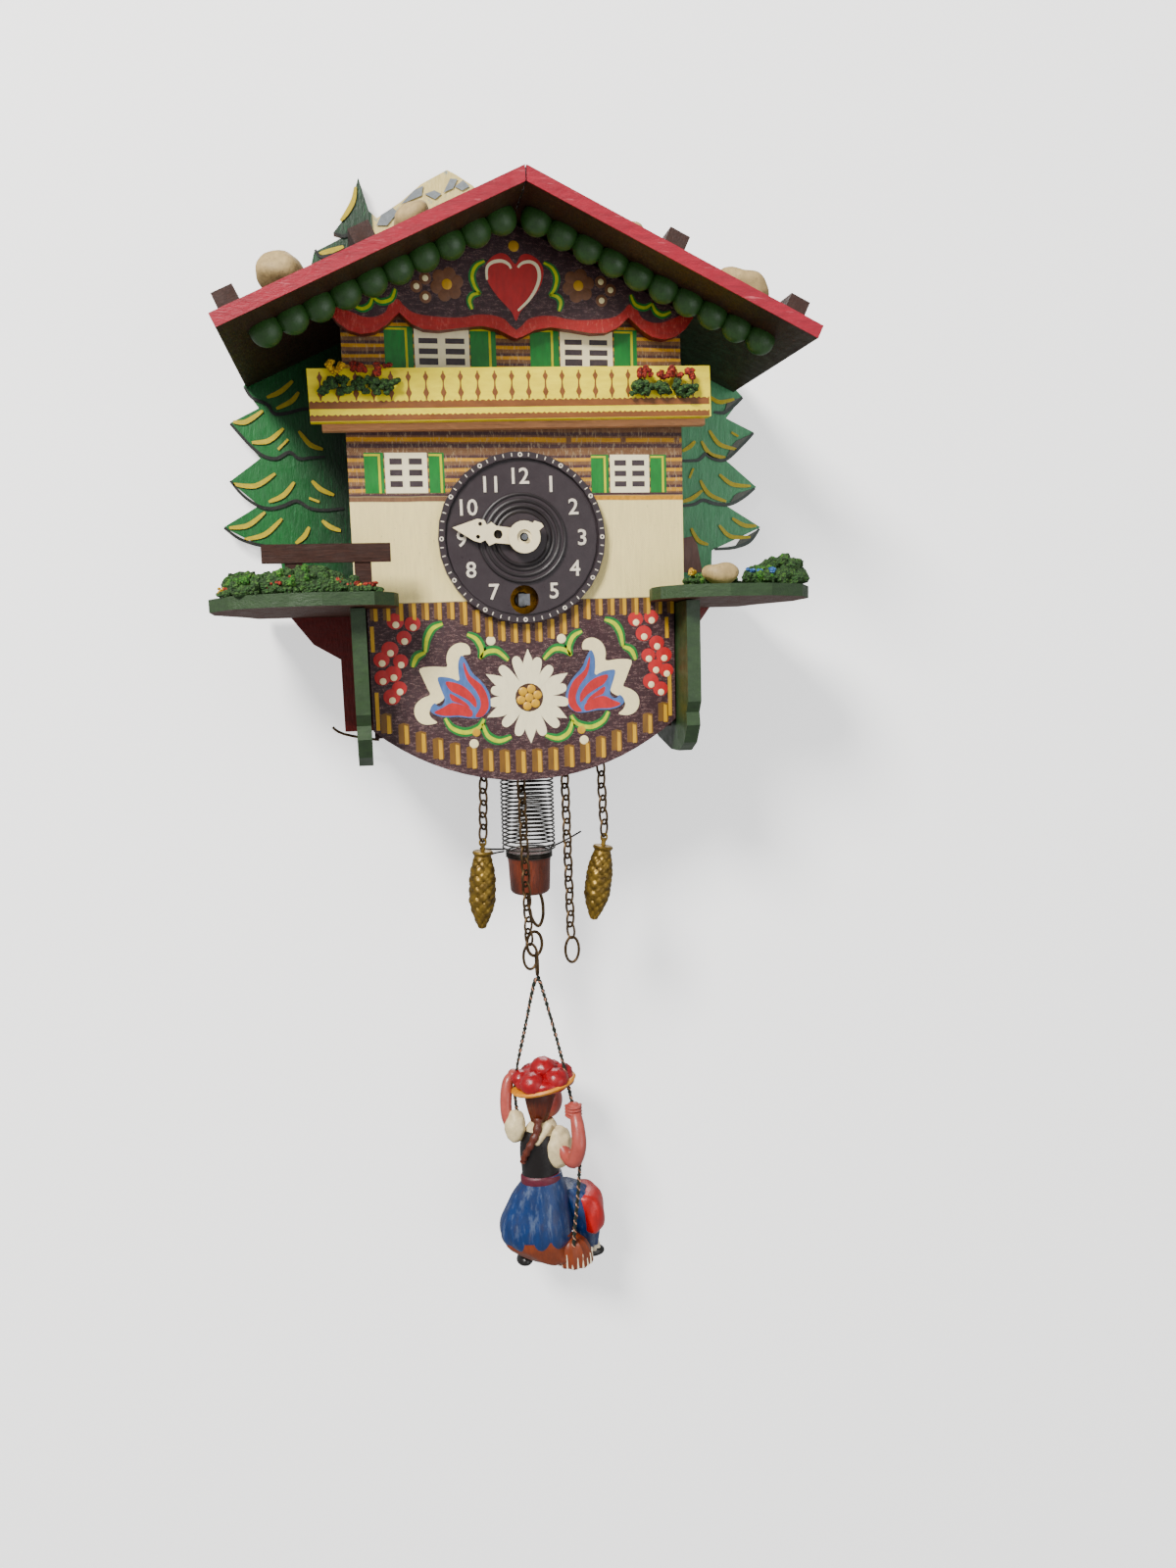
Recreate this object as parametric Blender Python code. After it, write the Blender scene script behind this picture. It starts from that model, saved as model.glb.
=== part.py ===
"""A miniature chalet wall clock: a painted house on a scenery board, a key-wound movement, two cones and two
spare chains, and a girl on a swing who bobs on a coil spring.

Lengths are in millimetres until the mesh builder turns them into metres. X is to the right, Y runs back to the
wall and Z is up. Y = 0 is the rear face of the scenery board, and Z = 0 is the height of the dial's centre.
"""

import math

import bmesh
import bpy
from mathutils import Matrix, Vector

MM = 0.001
GAP = 0.3  # clearance between neighbouring pieces
BOARD = 3.0  # plywood thickness

# Case, front to back
BACK_Y = -BOARD  # front face of the scenery board
CASE_REAR_Y = BACK_Y - GAP
PANEL_FRONT_Y = -38.1
PANEL_REAR_Y = PANEL_FRONT_Y + BOARD
WALL_FRONT_Y = PANEL_REAR_Y + GAP

# Roof
ROOF_FRONT_Y = -65.0
ROOF_APEX_Z = 75.5
ROOF_TIP_X = 66.5
ROOF_TIP_Z = 44.1
ROOF_PITCH = math.atan2(ROOF_APEX_Z - ROOF_TIP_Z, ROOF_TIP_X)
ROOF_UNDER_Z = ROOF_APEX_Z - BOARD / math.cos(ROOF_PITCH)  # underside at the middle

# Bead trim under the eaves
BEAD_Y = -51.4
BEAD_R = 3.25
BEAD_FIRST_X = 4.0
BEAD_PITCH = 5.8
BEAD_COUNT = 10
BEAD_DROP = 2.0  # of a bead's centre below the roof boards

# Front panel
PANEL_HALF = 40.5
PANEL_LOW_HALF = 37.8
PANEL_STEP_Z = -15.6
PANEL_CORNER_Z = -45.4
PANEL_BOTTOM_Z = -59.2
FLOOR_TOP_Z = -45.0
FLOOR_THICK = 2.5

# Dial, hands and movement
DIAL_RADIUS = 20.3
DIAL_FRONT_Y = -40.2
DIAL_REAR_Y = PANEL_FRONT_Y - GAP
MOTION_HOLE = 12.4
KEY_HOLE = 3.5
WIND_Z = -14.7  # winding arbor below the dial's centre
FRONT_PLATE_Y = (-34.8, -33.8)
BACK_PLATE_Y = (-13.0, -12.2)
ARBOR_R = 0.75
WIND_R = 1.7
PIVOT_R = 0.5

# Going train: teeth, and the plane of each wheel
CENTRE_PINION = 8
GREAT_TEETH = 48
CENTRE_TEETH = 54
THIRD_PINION = 7
THIRD_TEETH = 54
ESCAPE_PINION = 7
ESCAPE_TEETH = 20
CENTRE_MODULE = 0.35
THIRD_MODULE = 0.3
THIRD_ANGLE = math.radians(152.6)
ESCAPE_ANGLE = math.radians(229.0)
LEVER_PIVOT = (-19.4, -11.6)
# Motion work behind the dial
CANNON_TEETH = 8
MINUTE_TEETH = 24
MINUTE_PINION = 8
HOUR_TEETH = 32
MINUTE_MODULE = 0.4
HOUR_MODULE = 0.32

# Bobbing spring and what hangs from it
BOB_X = 1.6
BOB_Y = -19.0
SPRING_R = 7.0
SPRING_WIRE_R = 0.22
SPRING_TOP_Z = -44.0
SPRING_BOTTOM_Z = -80.4
SPRING_TURNS = 33
PLUG_TOP_Z = -81.2
PLUG_HEIGHT = 11.2
PLUG_R = 5.7
SWING_PIVOT_Z = -101.4

# Chains
CHAIN_Y = -32.0
CHAIN_TOP_Z = -51.0
CHAIN_WIDTH = 2.4
CHAIN_THICK = 1.0
CHAIN_LINK = 3.9
STAPLE_Z = -49.6  # the pivot of each chain
CONE_CHAINS = {"left": (-10.7, -11.8, -75.0), "right": (19.0, 19.8, -75.6)}
CONES = {"left": ((-11.9, -75.6), (-13.0, -98.2)), "right": ((19.7, -76.2), (16.3, -98.0))}
LOOSE_CHAINS = {"left": (-1.7, -0.9, -103.4), "right": (9.7, 10.2, -102.4)}

# Shelves beside the house
SHELF_TOP_Z = -12.5
SHELF_FRONT_Y = -56.0
SHELF_FALL = math.tan(math.radians(2.4))  # the shelves droop towards the wall
BALCONY_TILT = math.radians(1.1)
BALCONY_Y = (-44.3, -41.3)


# ---------------------------------------------------------------- building tools


def material(name, colour, roughness=0.6, metallic=0.0):
    found = bpy.data.materials.get(name)
    if found:
        return found
    made = bpy.data.materials.new(name)
    made.use_nodes = True
    shader = made.node_tree.nodes["Principled BSDF"]
    shader.inputs["Base Color"].default_value = (*colour, 1.0)
    shader.inputs["Roughness"].default_value = roughness
    shader.inputs["Metallic"].default_value = metallic
    return made


WOOD = ("limewood", (0.55, 0.38, 0.22), 0.65, 0.0)
DARK_WOOD = ("dark_wood", (0.12, 0.06, 0.035), 0.6, 0.0)
RED_PAINT = ("red_paint", (0.5, 0.04, 0.05), 0.5, 0.0)
PANEL_PAINT = ("panel_paint", (0.45, 0.3, 0.16), 0.6, 0.0)
YELLOW_PAINT = ("yellow_paint", (0.75, 0.6, 0.08), 0.55, 0.0)
GREEN_PAINT = ("green_paint", (0.03, 0.22, 0.06), 0.45, 0.0)
BEAD_GREEN = ("bead_green", (0.05, 0.16, 0.04), 0.4, 0.0)
SCENERY = ("scenery_paint", (0.05, 0.3, 0.12), 0.6, 0.0)
STONE = ("stone", (0.45, 0.38, 0.28), 0.8, 0.0)
MOSS = ("moss", (0.05, 0.16, 0.03), 0.95, 0.0)
CREAM = ("cream_plastic", (0.82, 0.76, 0.55), 0.35, 0.0)
DIAL_BROWN = ("dial_brown", (0.07, 0.035, 0.02), 0.4, 0.0)
BRASS = ("brass", (0.72, 0.5, 0.2), 0.35, 1.0)
STEEL = ("steel", (0.5, 0.5, 0.5), 0.35, 1.0)
BRONZE = ("dark_bronze", (0.1, 0.07, 0.05), 0.4, 1.0)
CONE_GOLD = ("antique_gold", (0.35, 0.25, 0.08), 0.4, 0.8)
CORD = ("cord", (0.04, 0.06, 0.05), 0.85, 0.0)
FIGURE = ("figure_paint", (0.05, 0.12, 0.4), 0.5, 0.0)


def from_bmesh(name, shape, paint):
    """An object in metres from a bmesh in millimetres, facing out."""
    bmesh.ops.recalc_face_normals(shape, faces=shape.faces[:])
    bmesh.ops.scale(shape, vec=(MM, MM, MM), verts=shape.verts[:])
    mesh = bpy.data.meshes.new(name)
    shape.to_mesh(mesh)
    shape.free()
    mesh.materials.append(material(*paint))
    made = bpy.data.objects.new(name, mesh)
    bpy.context.scene.collection.objects.link(made)
    return made


def extrusion(name, outline, low, high, paint, place):
    """A prism: outline points (a, b) swept from low to high, where place turns (a, b, depth) into (x, y, z)."""
    shape = bmesh.new()
    near = [shape.verts.new(place(a, b, low)) for a, b in outline]
    far = [shape.verts.new(place(a, b, high)) for a, b in outline]
    shape.faces.new(near)
    shape.faces.new(far)
    count = len(outline)
    for i in range(count):
        j = (i + 1) % count
        shape.faces.new((near[i], near[j], far[j], far[i]))
    return from_bmesh(name, shape, paint)


def facing(name, outline, y0, y1, paint):
    """A board cut to an outline in X and Z, between two depths."""
    return extrusion(name, outline, y0, y1, paint, lambda a, b, d: (a, d, b))


def lying(name, outline, z0, z1, paint):
    """A board cut to an outline in X and Y, between two heights."""
    return extrusion(name, outline, z0, z1, paint, lambda a, b, d: (a, b, d))


def sideways(name, outline, x0, x1, paint):
    """A board cut to an outline in Y and Z, between two places along X."""
    return extrusion(name, outline, x0, x1, paint, lambda a, b, d: (d, a, b))


def block(name, x, y, z, paint):
    corners = [(x[0], z[0]), (x[1], z[0]), (x[1], z[1]), (x[0], z[1])]
    return facing(name, corners, y[0], y[1], paint)


def rings(name, loops, paint, closed=False):
    """A skin over loops of points, with capped ends, or with the last loop joined to the first."""
    shape = bmesh.new()
    rows = [[shape.verts.new(p) for p in loop] for loop in loops]
    pairs = list(zip(rows, rows[1:]))
    if closed:
        pairs.append((rows[-1], rows[0]))
    for a, b in pairs:
        for i in range(len(a)):
            j = (i + 1) % len(a)
            shape.faces.new((a[i], a[j], b[j], b[i]))
    if not closed:
        shape.faces.new(rows[0])
        shape.faces.new(rows[-1])
    bmesh.ops.remove_doubles(shape, verts=shape.verts[:], dist=1e-4)
    return from_bmesh(name, shape, paint)


def turned(name, profile, centre, paint, steps=24, axis="Y"):
    """A turned piece from a closed profile of (radius, place along the axis), whose ends may lie on the axis."""
    loops = []
    for i in range(steps):
        angle = math.tau * i / steps
        c, s = math.cos(angle), math.sin(angle)
        if axis == "Y":
            loops.append([(centre[0] + r * c, h, centre[1] + r * s) for r, h in profile])
        else:
            loops.append([(centre[0] + r * c, centre[1] + r * s, h) for r, h in profile])
    return rings(name, loops, paint, closed=True)


def rod(name, radius, y0, y1, centre, paint, steps=16):
    outline = circle(centre, radius, steps)
    return facing(name, outline, y0, y1, paint)


def circle(centre, radius, steps=24, start=0.0, sweep=math.tau):
    count = steps if abs(sweep - math.tau) < 1e-9 else steps + 1
    angles = [start + sweep * i / steps for i in range(count)]
    return [(centre[0] + radius * math.cos(a), centre[1] + radius * math.sin(a)) for a in angles]


def smooth_path(points, per_span=4):
    """Points on a Catmull-Rom curve through the given ones."""
    p = [Vector(q) for q in points]
    p = [2 * p[0] - p[1]] + p + [2 * p[-1] - p[-2]]
    out = []
    for i in range(1, len(p) - 2):
        for k in range(per_span):
            t = k / per_span
            a = 2 * p[i]
            b = p[i + 1] - p[i - 1]
            c = 2 * p[i - 1] - 5 * p[i] + 4 * p[i + 1] - p[i + 2]
            d = -p[i - 1] + 3 * p[i] - 3 * p[i + 1] + p[i + 2]
            out.append((a + b * t + c * t * t + d * t * t * t) / 2)
    out.append(p[-2])
    return out


def tube(name, path, radius, paint, sides=8, closed=False):
    """A round wire along a path, turned as little as possible from point to point."""
    path = [Vector(p) for p in path]
    count = len(path)
    loops = []
    across = None
    for i, p in enumerate(path):
        before = path[i - 1] if i or closed else p
        after = path[(i + 1) % count] if i + 1 < count or closed else p
        along = (after - before).normalized()
        if across is None:
            across = along.orthogonal().normalized()
        across = (across - along * across.dot(along)).normalized()
        other = along.cross(across)
        turn = [math.tau * k / sides for k in range(sides)]
        loops.append([p + radius * (math.cos(a) * across + math.sin(a) * other) for a in turn])
    return rings(name, loops, paint, closed)


def oval_ring(name, centre, half_x, half_z, wire, paint, lean=0.0, edge_on=False):
    """A wire ring standing in the XZ plane, or in the YZ plane if edge_on."""
    path = []
    count = 14
    for i in range(count):
        a = math.tau * i / count
        u, v = half_x * math.cos(a), half_z * math.sin(a)
        u, v = u * math.cos(lean) - v * math.sin(lean), u * math.sin(lean) + v * math.cos(lean)
        offset = (0, u, v) if edge_on else (u, 0, v)
        path.append(Vector(centre) + Vector(offset))
    return tube(name, path, wire, paint, 5, True)


def ellipsoid(name, centre, radii, paint, steps=12, rows=8, lump=0.0):
    """A rounded lump; lump roughens it by a fixed pattern."""
    shape = bmesh.new()
    bmesh.ops.create_uvsphere(shape, u_segments=steps, v_segments=rows, radius=1.0)
    for v in shape.verts:
        swell = 1.0 + lump * math.sin(5.1 * v.co.x + 1.0) * math.cos(4.3 * v.co.y + 2.0 * v.co.z)
        v.co = Vector((centre[i] + radii[i] * v.co[i] * swell for i in range(3)))
    return from_bmesh(name, shape, paint)


def bake(target, others, operation):
    """Unites others with target, or cuts them from it, and removes them."""
    for other in others:
        step = target.modifiers.new(operation.lower(), "BOOLEAN")
        step.operation = operation
        step.object = other
    graph = bpy.context.evaluated_depsgraph_get()
    solid = bpy.data.meshes.new_from_object(target.evaluated_get(graph))
    target.modifiers.clear()
    target.data = solid
    for other in others:
        bpy.data.objects.remove(other)
    return target


def cut(target, *others):
    return bake(target, others, "DIFFERENCE")


def unite(target, *others):
    return bake(target, others, "UNION")


def on_axis(piece, point):
    """Moves a piece's origin to a point on its joint's axis, without moving the piece."""
    place = Vector(point) * MM
    piece.data.transform(Matrix.Translation(-place))
    piece.location = place
    return piece


def round_off(angle=35):
    """Smooth shading on every piece, with the sharp edges kept."""
    for piece in bpy.context.scene.objects:
        if piece.type == "MESH":
            piece.data.shade_smooth()
            piece.data.set_sharp_from_angle(angle=math.radians(angle))


# ---------------------------------------------------------------- house


def roof_top(x):
    return ROOF_APEX_Z - abs(x) * math.tan(ROOF_PITCH)


def roof_under(x):
    return ROOF_UNDER_Z - abs(x) * math.tan(ROOF_PITCH)


def back_board():
    left_trees = [(-58, -17), (-59.5, -2), (-65, 1.9), (-73.3, 6.4), (-64, 11.8), (-70.9, 18),
        (-62.9, 23.8)]
    left_trees += [(-69.9, 32.6), (-62.4, 36.4), (-66, 41.7), (-52, 60)]
    tall_fir = [(-47.6, 70.5), (-46.3, 75), (-38.1, 79.2), (-41.2, 79.9), (-37.3, 84.6), (-34.2, 93.4),
        (-32, 85.5)]
    mountain = [(-30, 83.8), (-23.7, 88), (-18.3, 92.5), (-11.5, 96.2), (-9.3, 95.2), (-4.9, 92.6),
        (4, 84)]
    right_trees = [(30, 66), (56, 52), (67.9, 40.2), (63.1, 34.4), (71.2, 30.6), (63, 23), (71.8, 15.7)]
    right_trees += [(62.9, 10.7), (73, 4.6), (58.5, -1.6), (58, -17)]
    skirt = [(52.3, -24.6), (45.4, -28.8), (45.3, -48.3), (-45.3, -48.3), (-45.4, -28.8), (-52.3, -24.6)]
    board = facing("back_board", left_trees + tall_fir + mountain + right_trees + skirt, BACK_Y, 0,
        SCENERY)
    hole = rod("hanging_hole", 4.0, BACK_Y - 1, 1, (0, 60), SCENERY, 24)
    return cut(board, hole)


def front_panel():
    sagitta = PANEL_CORNER_Z - PANEL_BOTTOM_Z
    radius = (PANEL_LOW_HALF**2 + sagitta**2) / (2 * sagitta)
    half_angle = math.asin(PANEL_LOW_HALF / radius)
    centre = (0, PANEL_BOTTOM_Z + radius)
    arc = circle(centre, radius, 20, -math.pi / 2 + half_angle, -2 * half_angle)
    right = [(0, roof_under(0) - GAP), (PANEL_HALF, roof_under(PANEL_HALF) - GAP)]
    right += [(PANEL_HALF, PANEL_STEP_Z), (PANEL_LOW_HALF, PANEL_STEP_Z)]
    left = [(-x, z) for x, z in reversed(right[1:])]
    panel = facing("front_panel", right + arc + left, PANEL_FRONT_Y, PANEL_REAR_Y, PANEL_PAINT)
    motion = rod("motion_hole", MOTION_HOLE, PANEL_FRONT_Y - 1, PANEL_REAR_Y + 1, (0, 0), WOOD, 32)
    key = rod("key_hole", KEY_HOLE + 0.2, PANEL_FRONT_Y - 1, PANEL_REAR_Y + 1, (0, WIND_Z), WOOD, 20)
    return cut(panel, motion, key)


def side_walls():
    inner, outer = 34.5, 37.5
    bottom = FLOOR_TOP_Z - FLOOR_THICK
    for name, side in (("side_wall_left", -1), ("side_wall_right", 1)):
        outline = [(side * inner, bottom), (side * outer, bottom),
            (side * outer, roof_under(outer) - GAP - 0.1)]
        outline.append((side * inner, roof_under(inner) - GAP - 0.1))
        facing(name, outline, WALL_FRONT_Y, CASE_REAR_Y, DARK_WOOD)


def case_floor():
    """The floor of the case, with the hole that the bobbing spring hangs through."""
    floor = block("case_floor", (-34.2, 34.2), (WALL_FRONT_Y, CASE_REAR_Y),
        (FLOOR_TOP_Z - FLOOR_THICK, FLOOR_TOP_Z), WOOD)
    hole = turned("spring_hole", [(0, -60), (9.6, -60), (9.6, -30), (0, -30)], (BOB_X, BOB_Y), WOOD, 24,
        "Z")
    return cut(floor, hole)


def gable_board():
    right = [(0, 71.2), (43, roof_under(43) - 0.6), (41, 48.6), (38.7, 46.9), (35.8, 46.1), (32.6, 46.6)]
    right += [(29.8, 48.4), (27, 51), (24.4, 48.6), (21.5, 47.4), (18, 47.2), (13, 47.9), (8, 48.4)]
    right += [(4.4, 47.7), (1.6, 46.3), (0, 45.7)]
    left = [(-x, z) for x, z in reversed(right[1:-1])]
    return facing("gable_board", right + left, PANEL_FRONT_Y - GAP - BOARD, PANEL_FRONT_Y - GAP,
        PANEL_PAINT)


def bead_trims():
    """A row of beads under each eave, cut flat along the roof, on a thin backing strip."""
    back_y = BEAD_Y + 2.0
    for name, side in (("bead_trim_left", -1), ("bead_trim_right", 1)):
        strip = []
        for x, lower in ((0.8, 0.5), (58, 0.5), (58, 2.6), (1.6, 2.6)):
            strip.append((side * x, roof_under(x) - lower))
        trim = facing(name, strip, back_y - 0.8, back_y, BEAD_GREEN)
        beads = []
        for i in range(BEAD_COUNT):
            x = BEAD_FIRST_X + i * BEAD_PITCH
            centre = (side * x, BEAD_Y, roof_under(x) - BEAD_DROP)
            beads.append(ellipsoid(f"bead{i}", centre, (BEAD_R, BEAD_R - 0.6, BEAD_R), BEAD_GREEN, 7, 5))
        unite(trim, *beads)
        above = [(side * 0.4, 100), (side * 90, 100), (side * 90, roof_under(90) - 0.35)]
        above.append((side * 0.4, roof_under(0.4) - 0.35))
        beyond = block("beyond_ridge", sorted((side * 0.4, side * -20)), (-60, -40), (0, 90), BEAD_GREEN)
        behind = block("behind_strip", (-80, 80), (back_y, back_y + 5), (0, 90), BEAD_GREEN)
        cut(trim, facing("above_eave", above, -60, -40, BEAD_GREEN), beyond, behind)


def roof():
    """Two boards that meet in a mitre on the ridge."""
    n = Vector((math.sin(ROOF_PITCH), math.cos(ROOF_PITCH))) * BOARD
    seam = GAP / 2
    right = [(seam, roof_top(seam)), (ROOF_TIP_X, ROOF_TIP_Z), (ROOF_TIP_X - n.x, ROOF_TIP_Z - n.y),
        (seam, roof_under(seam))]
    left = [(-x, z) for x, z in reversed(right)]
    facing("roof_right", right, ROOF_FRONT_Y, CASE_REAR_Y, RED_PAINT)
    facing("roof_left", left, ROOF_FRONT_Y, CASE_REAR_Y, RED_PAINT)


def roof_load():
    """Battens across the roof boards, with stones between them."""
    width, height = 4.8, 3.4
    for i, x in enumerate((-62.2, -33.9, 32.4, 60.2)):
        side = 1 if x > 0 else -1
        along = Vector((math.cos(ROOF_PITCH), -side * math.sin(ROOF_PITCH)))
        up = Vector((side * math.sin(ROOF_PITCH), math.cos(ROOF_PITCH)))
        foot = Vector((x, roof_top(x))) + up * (GAP + 0.05)
        corners = [foot - along * width / 2, foot + along * width / 2]
        corners += [corners[1] + up * height, corners[0] + up * height]
        facing(f"roof_batten_{i + 1}", [tuple(c) for c in corners], ROOF_FRONT_Y + 1.8, CASE_REAR_Y - 2,
            DARK_WOOD)
    stones = ((-52.0, -54, 5.0, 5.6, 4.4), (-23.2, -50, 4.4, 6.0, 3.6), (26.0, -50, 2.8, 4.5, 3.0),
        (52.0, -54, 6.0, 4.6, 3.3))
    for i, (x, y, rx, ry, rz) in enumerate(stones):
        lean = (1 if x < 0 else -1) * ROOF_PITCH
        stone = ellipsoid(f"roof_stone_{i + 1}", (0, 0, 0), (rx, ry, rz), STONE, 12, 8, 0.12)
        lift = (roof_top(x) + (rz * 0.8 + GAP + 0.2) / math.cos(ROOF_PITCH)) * MM
        stone.data.transform(Matrix.Translation((x * MM, y * MM, lift)) @ Matrix.Rotation(-lean, 4, "Y"))
        under = [(-90, 0), (90, 0), (90, roof_top(90) + 0.4), (0, ROOF_APEX_Z + 0.4),
            (-90, roof_top(90) + 0.4)]
        cut(stone, facing("roof_body", under, -70, 0, STONE))


def balcony():
    def tilted(x, z):
        return (x * math.cos(BALCONY_TILT) - z * math.sin(BALCONY_TILT),
            38.7 + x * math.sin(BALCONY_TILT) + z)

    front = [tilted(-48.4, 0), tilted(-48.4, -11.7), tilted(46, -11.7), tilted(46, 0)]
    facing("balcony_front", front, BALCONY_Y[0], BALCONY_Y[1], YELLOW_PAINT)
    floor = [tilted(-46, -11.4), tilted(-46, -13.2), tilted(45.4, -13.2), tilted(45.4, -11.4)]
    slab = facing("balcony_floor", floor, BALCONY_Y[1] + GAP, PANEL_FRONT_Y - GAP, WOOD)
    flower_y = BALCONY_Y[0] - 1.5
    for name, x0, x1 in (("balcony_flowers_left", -45.5, -28), ("balcony_flowers_right", 26, 43)):
        middle = (x0 + x1) / 2
        half = (x1 - x0) / 2
        body = ellipsoid(name, (middle, flower_y, 35), (half, 1.4, 3.6), MOSS, 8, 6, 0.1)
        for k in range(3):
            x = middle + (k - 1) * half * 0.62
            unite(body, ellipsoid("tuft", (x, flower_y, 37), (half * 0.3, 1.45, 3.4), MOSS, 6, 5, 0.1))
        cut(body, block("balcony_face", (-60, 60), (BALCONY_Y[0] - 0.03, -20), (20, 60), MOSS))
    return slab


def shelf_z(y):
    """Height of a shelf's top at a depth."""
    return SHELF_TOP_Z - (y + 50) * SHELF_FALL


def shelf(name, side, outer):
    inside = 37.9
    front = [(outer - 6, -12), (outer, -25), (outer - 0.5, -38), (outer - 6, -48), (outer - 16, -54),
        (outer - 27, SHELF_FRONT_Y)]
    front += [(36, -54.5), (31.5, -50), (30.4, -45.5), (31.5, PANEL_FRONT_Y - GAP),
        (PANEL_HALF + GAP, PANEL_FRONT_Y - GAP)]
    outline = [(66, CASE_REAR_Y)] + front + [(PANEL_HALF + GAP, WALL_FRONT_Y), (inside, WALL_FRONT_Y),
        (inside, CASE_REAR_Y)]
    board = lying(name, [(side * x, y) for x, y in outline], 0, BOARD, GREEN_PAINT)
    for v in board.data.vertices:
        v.co.z += (shelf_z(v.co.y / MM) - BOARD) * MM
    return board


def bracket(name, side):
    top = shelf_z(0) - BOARD - GAP - 0.05
    profile = [(-48.5, top + 48.5 * SHELF_FALL), (-48.7, -40.5), (-46.9, -43.2), (-47.6, -46.4),
        (-44.4, -51)]
    profile += [(-39.5, -53.5), (-31.7, -53.9), (-18.4, -51.8), (CASE_REAR_Y - 0.3, -47.2)]
    profile.append((CASE_REAR_Y - 0.3, top - (CASE_REAR_Y - 0.3) * SHELF_FALL))
    x = sorted((side * 38.2, side * 41.6))
    return sideways(name, profile, x[0], x[1], GREEN_PAINT)


def shelf_dressing():
    bench = block("bench", (-60.5, -31.8), (-49.2, -47.2), (-5.5, -1.3), DARK_WOOD)
    for x in (-38.2, -53.6):
        post = block("post", (x - 1.9, x + 1.9), (-48.9, -46.2), (shelf_z(-46) + 0.5, -4.5), DARK_WOOD)
        unite(bench, post)
    for name, lumps in SHELF_LUMPS.items():
        first, *rest = [
            ellipsoid(f"{name}{i}", (x, y, shelf_z(y) + 0.35 + 0.55 * rz), (rx, ry, rz), MOSS, 8, 6, 0.08)
            for i, (x, y, rx, ry, rz) in enumerate(lumps)
        ]
        first.name = name
        unite(first, *rest)
        flat = [(-60, shelf_z(-60) + 0.35), (0, shelf_z(0) + 0.35), (0, -40), (-60, -40)]
        cut(first, sideways("shelf_body", flat, -90, 90, MOSS))
    stone = ellipsoid("shelf_stone", (48.4, -44.5, shelf_z(-44) + 3.1), (4.6, 3.9, 2.7), STONE, 12, 8,
        0.1)
    return stone


SHELF_LUMPS = {
    "shelf_plants_left": ((-66, -34, 5.5, 9, 6), (-58, -36, 6.5, 8, 5), (-49, -41, 6, 3.8, 4)),
    "shelf_plants_right": ((64.5, -34, 6.5, 9, 8), (58, -42, 5, 5, 4)),
}


def clip_wire():
    path = [(-48.4, -8, -46.4), (-47.6, -8, -47.3), (-45.6, -8, -48.4), (-41, -8, -49.6),
        (-36.4, -8, -50.4)]
    return tube("back_clip_wire", smooth_path(path, 2), 0.4, BRONZE, 6)


# ---------------------------------------------------------------- dial and hands


def dial():
    face, hub_r = DIAL_FRONT_Y, 2.2
    steps = [(hub_r, face + 0.3), (6, face + 0.3), (6.1, face + 0.7), (7.6, face + 0.7),
        (7.7, face + 0.4)]
    steps += [(10.4, face + 0.4), (10.5, face + 0.8), (18.3, face + 0.8), (18.4, face + 1.1),
        (18.7, face + 1.1)]
    steps += [(18.8, face), (DIAL_RADIUS, face), (DIAL_RADIUS, DIAL_REAR_Y), (hub_r, DIAL_REAR_Y)]
    disc = turned("dial", steps, (0, 0), DIAL_BROWN, 30)
    return cut(disc, rod("key_way", KEY_HOLE, -45, -35, (0, WIND_Z), DIAL_BROWN, 20))


def hour_hand():
    y = (-41.6, -40.7)
    outline = [(-16.9, 2.5), (-10.9, 4.5), (-9.3, 4.2), (-8.7, 3.0), (-7.6, 3.7), (-6.5, 2.8), (0, 1.9),
        (0, -1.9)]
    outline += [(-6.8, -1.2), (-8.3, -1.8), (-9.2, -0.5), (-10.4, -1.1), (-12.0, -0.6)]
    hand = facing("hour_hand", outline, y[0], y[1], CREAM)
    unite(hand, rod("hub", 3.2, y[0], y[1], (0, 0), CREAM, 20))
    holes = ((-10.3, 3.3, 0.5), (-10.9, 0.3, 0.5), (-6.1, 0.8, 1.1), (0, 0, 2.05))
    cut(hand, *[rod(f"h{i}", r, -45, -38, (x, z), CREAM, 12) for i, (x, z, r) in enumerate(holes)])
    return on_axis(hand, (0, y[0], 0))


def minute_hand():
    """The front hand: its hub ring and the stub that is left of the broken pointer."""
    y = (-43.2, -42.1)
    stub = [(1.2, 2.2), (2.6, 3.75), (4.2, 3.2), (4.7, 2.4), (3.5, 1.4), (2.4, 0.6)]
    hand = facing("minute_hand", stub, y[0], y[1], CREAM)
    unite(hand, rod("hub", 3.84, y[0], y[1], (0, 0), CREAM, 24))
    cut(hand, rod("eye", 1.8, y[0] - 1, y[0] + 0.6, (0, 0), CREAM, 16),
        rod("bore", 1.05, -50, -40, (0, 0), CREAM, 16))
    return on_axis(hand, (0, y[0], 0))


# ---------------------------------------------------------------- movement


def gear(teeth, module, phase, tip=0.8, root=1.1):
    """Outline of a wheel with slim pointed teeth, the first centred on phase."""
    pitch = teeth * module / 2
    outline = []
    for i in range(teeth):
        middle = phase + math.tau * i / teeth
        for part, r in ((-0.2, pitch - root * module), (0.0, pitch + tip * module),
            (0.2, pitch - root * module)):
            a = middle + part * math.tau / teeth
            outline.append((r * math.cos(a), r * math.sin(a)))
    return outline


def toothed(name, teeth, module, phase, centre, y0, y1, paint):
    outline = [(centre[0] + x, centre[1] + z) for x, z in gear(teeth, module, phase)]
    return facing(name, outline, y0, y1, paint)


def beside(centre, angle, distance):
    return (centre[0] + distance * math.cos(angle), centre[1] + distance * math.sin(angle))


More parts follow.
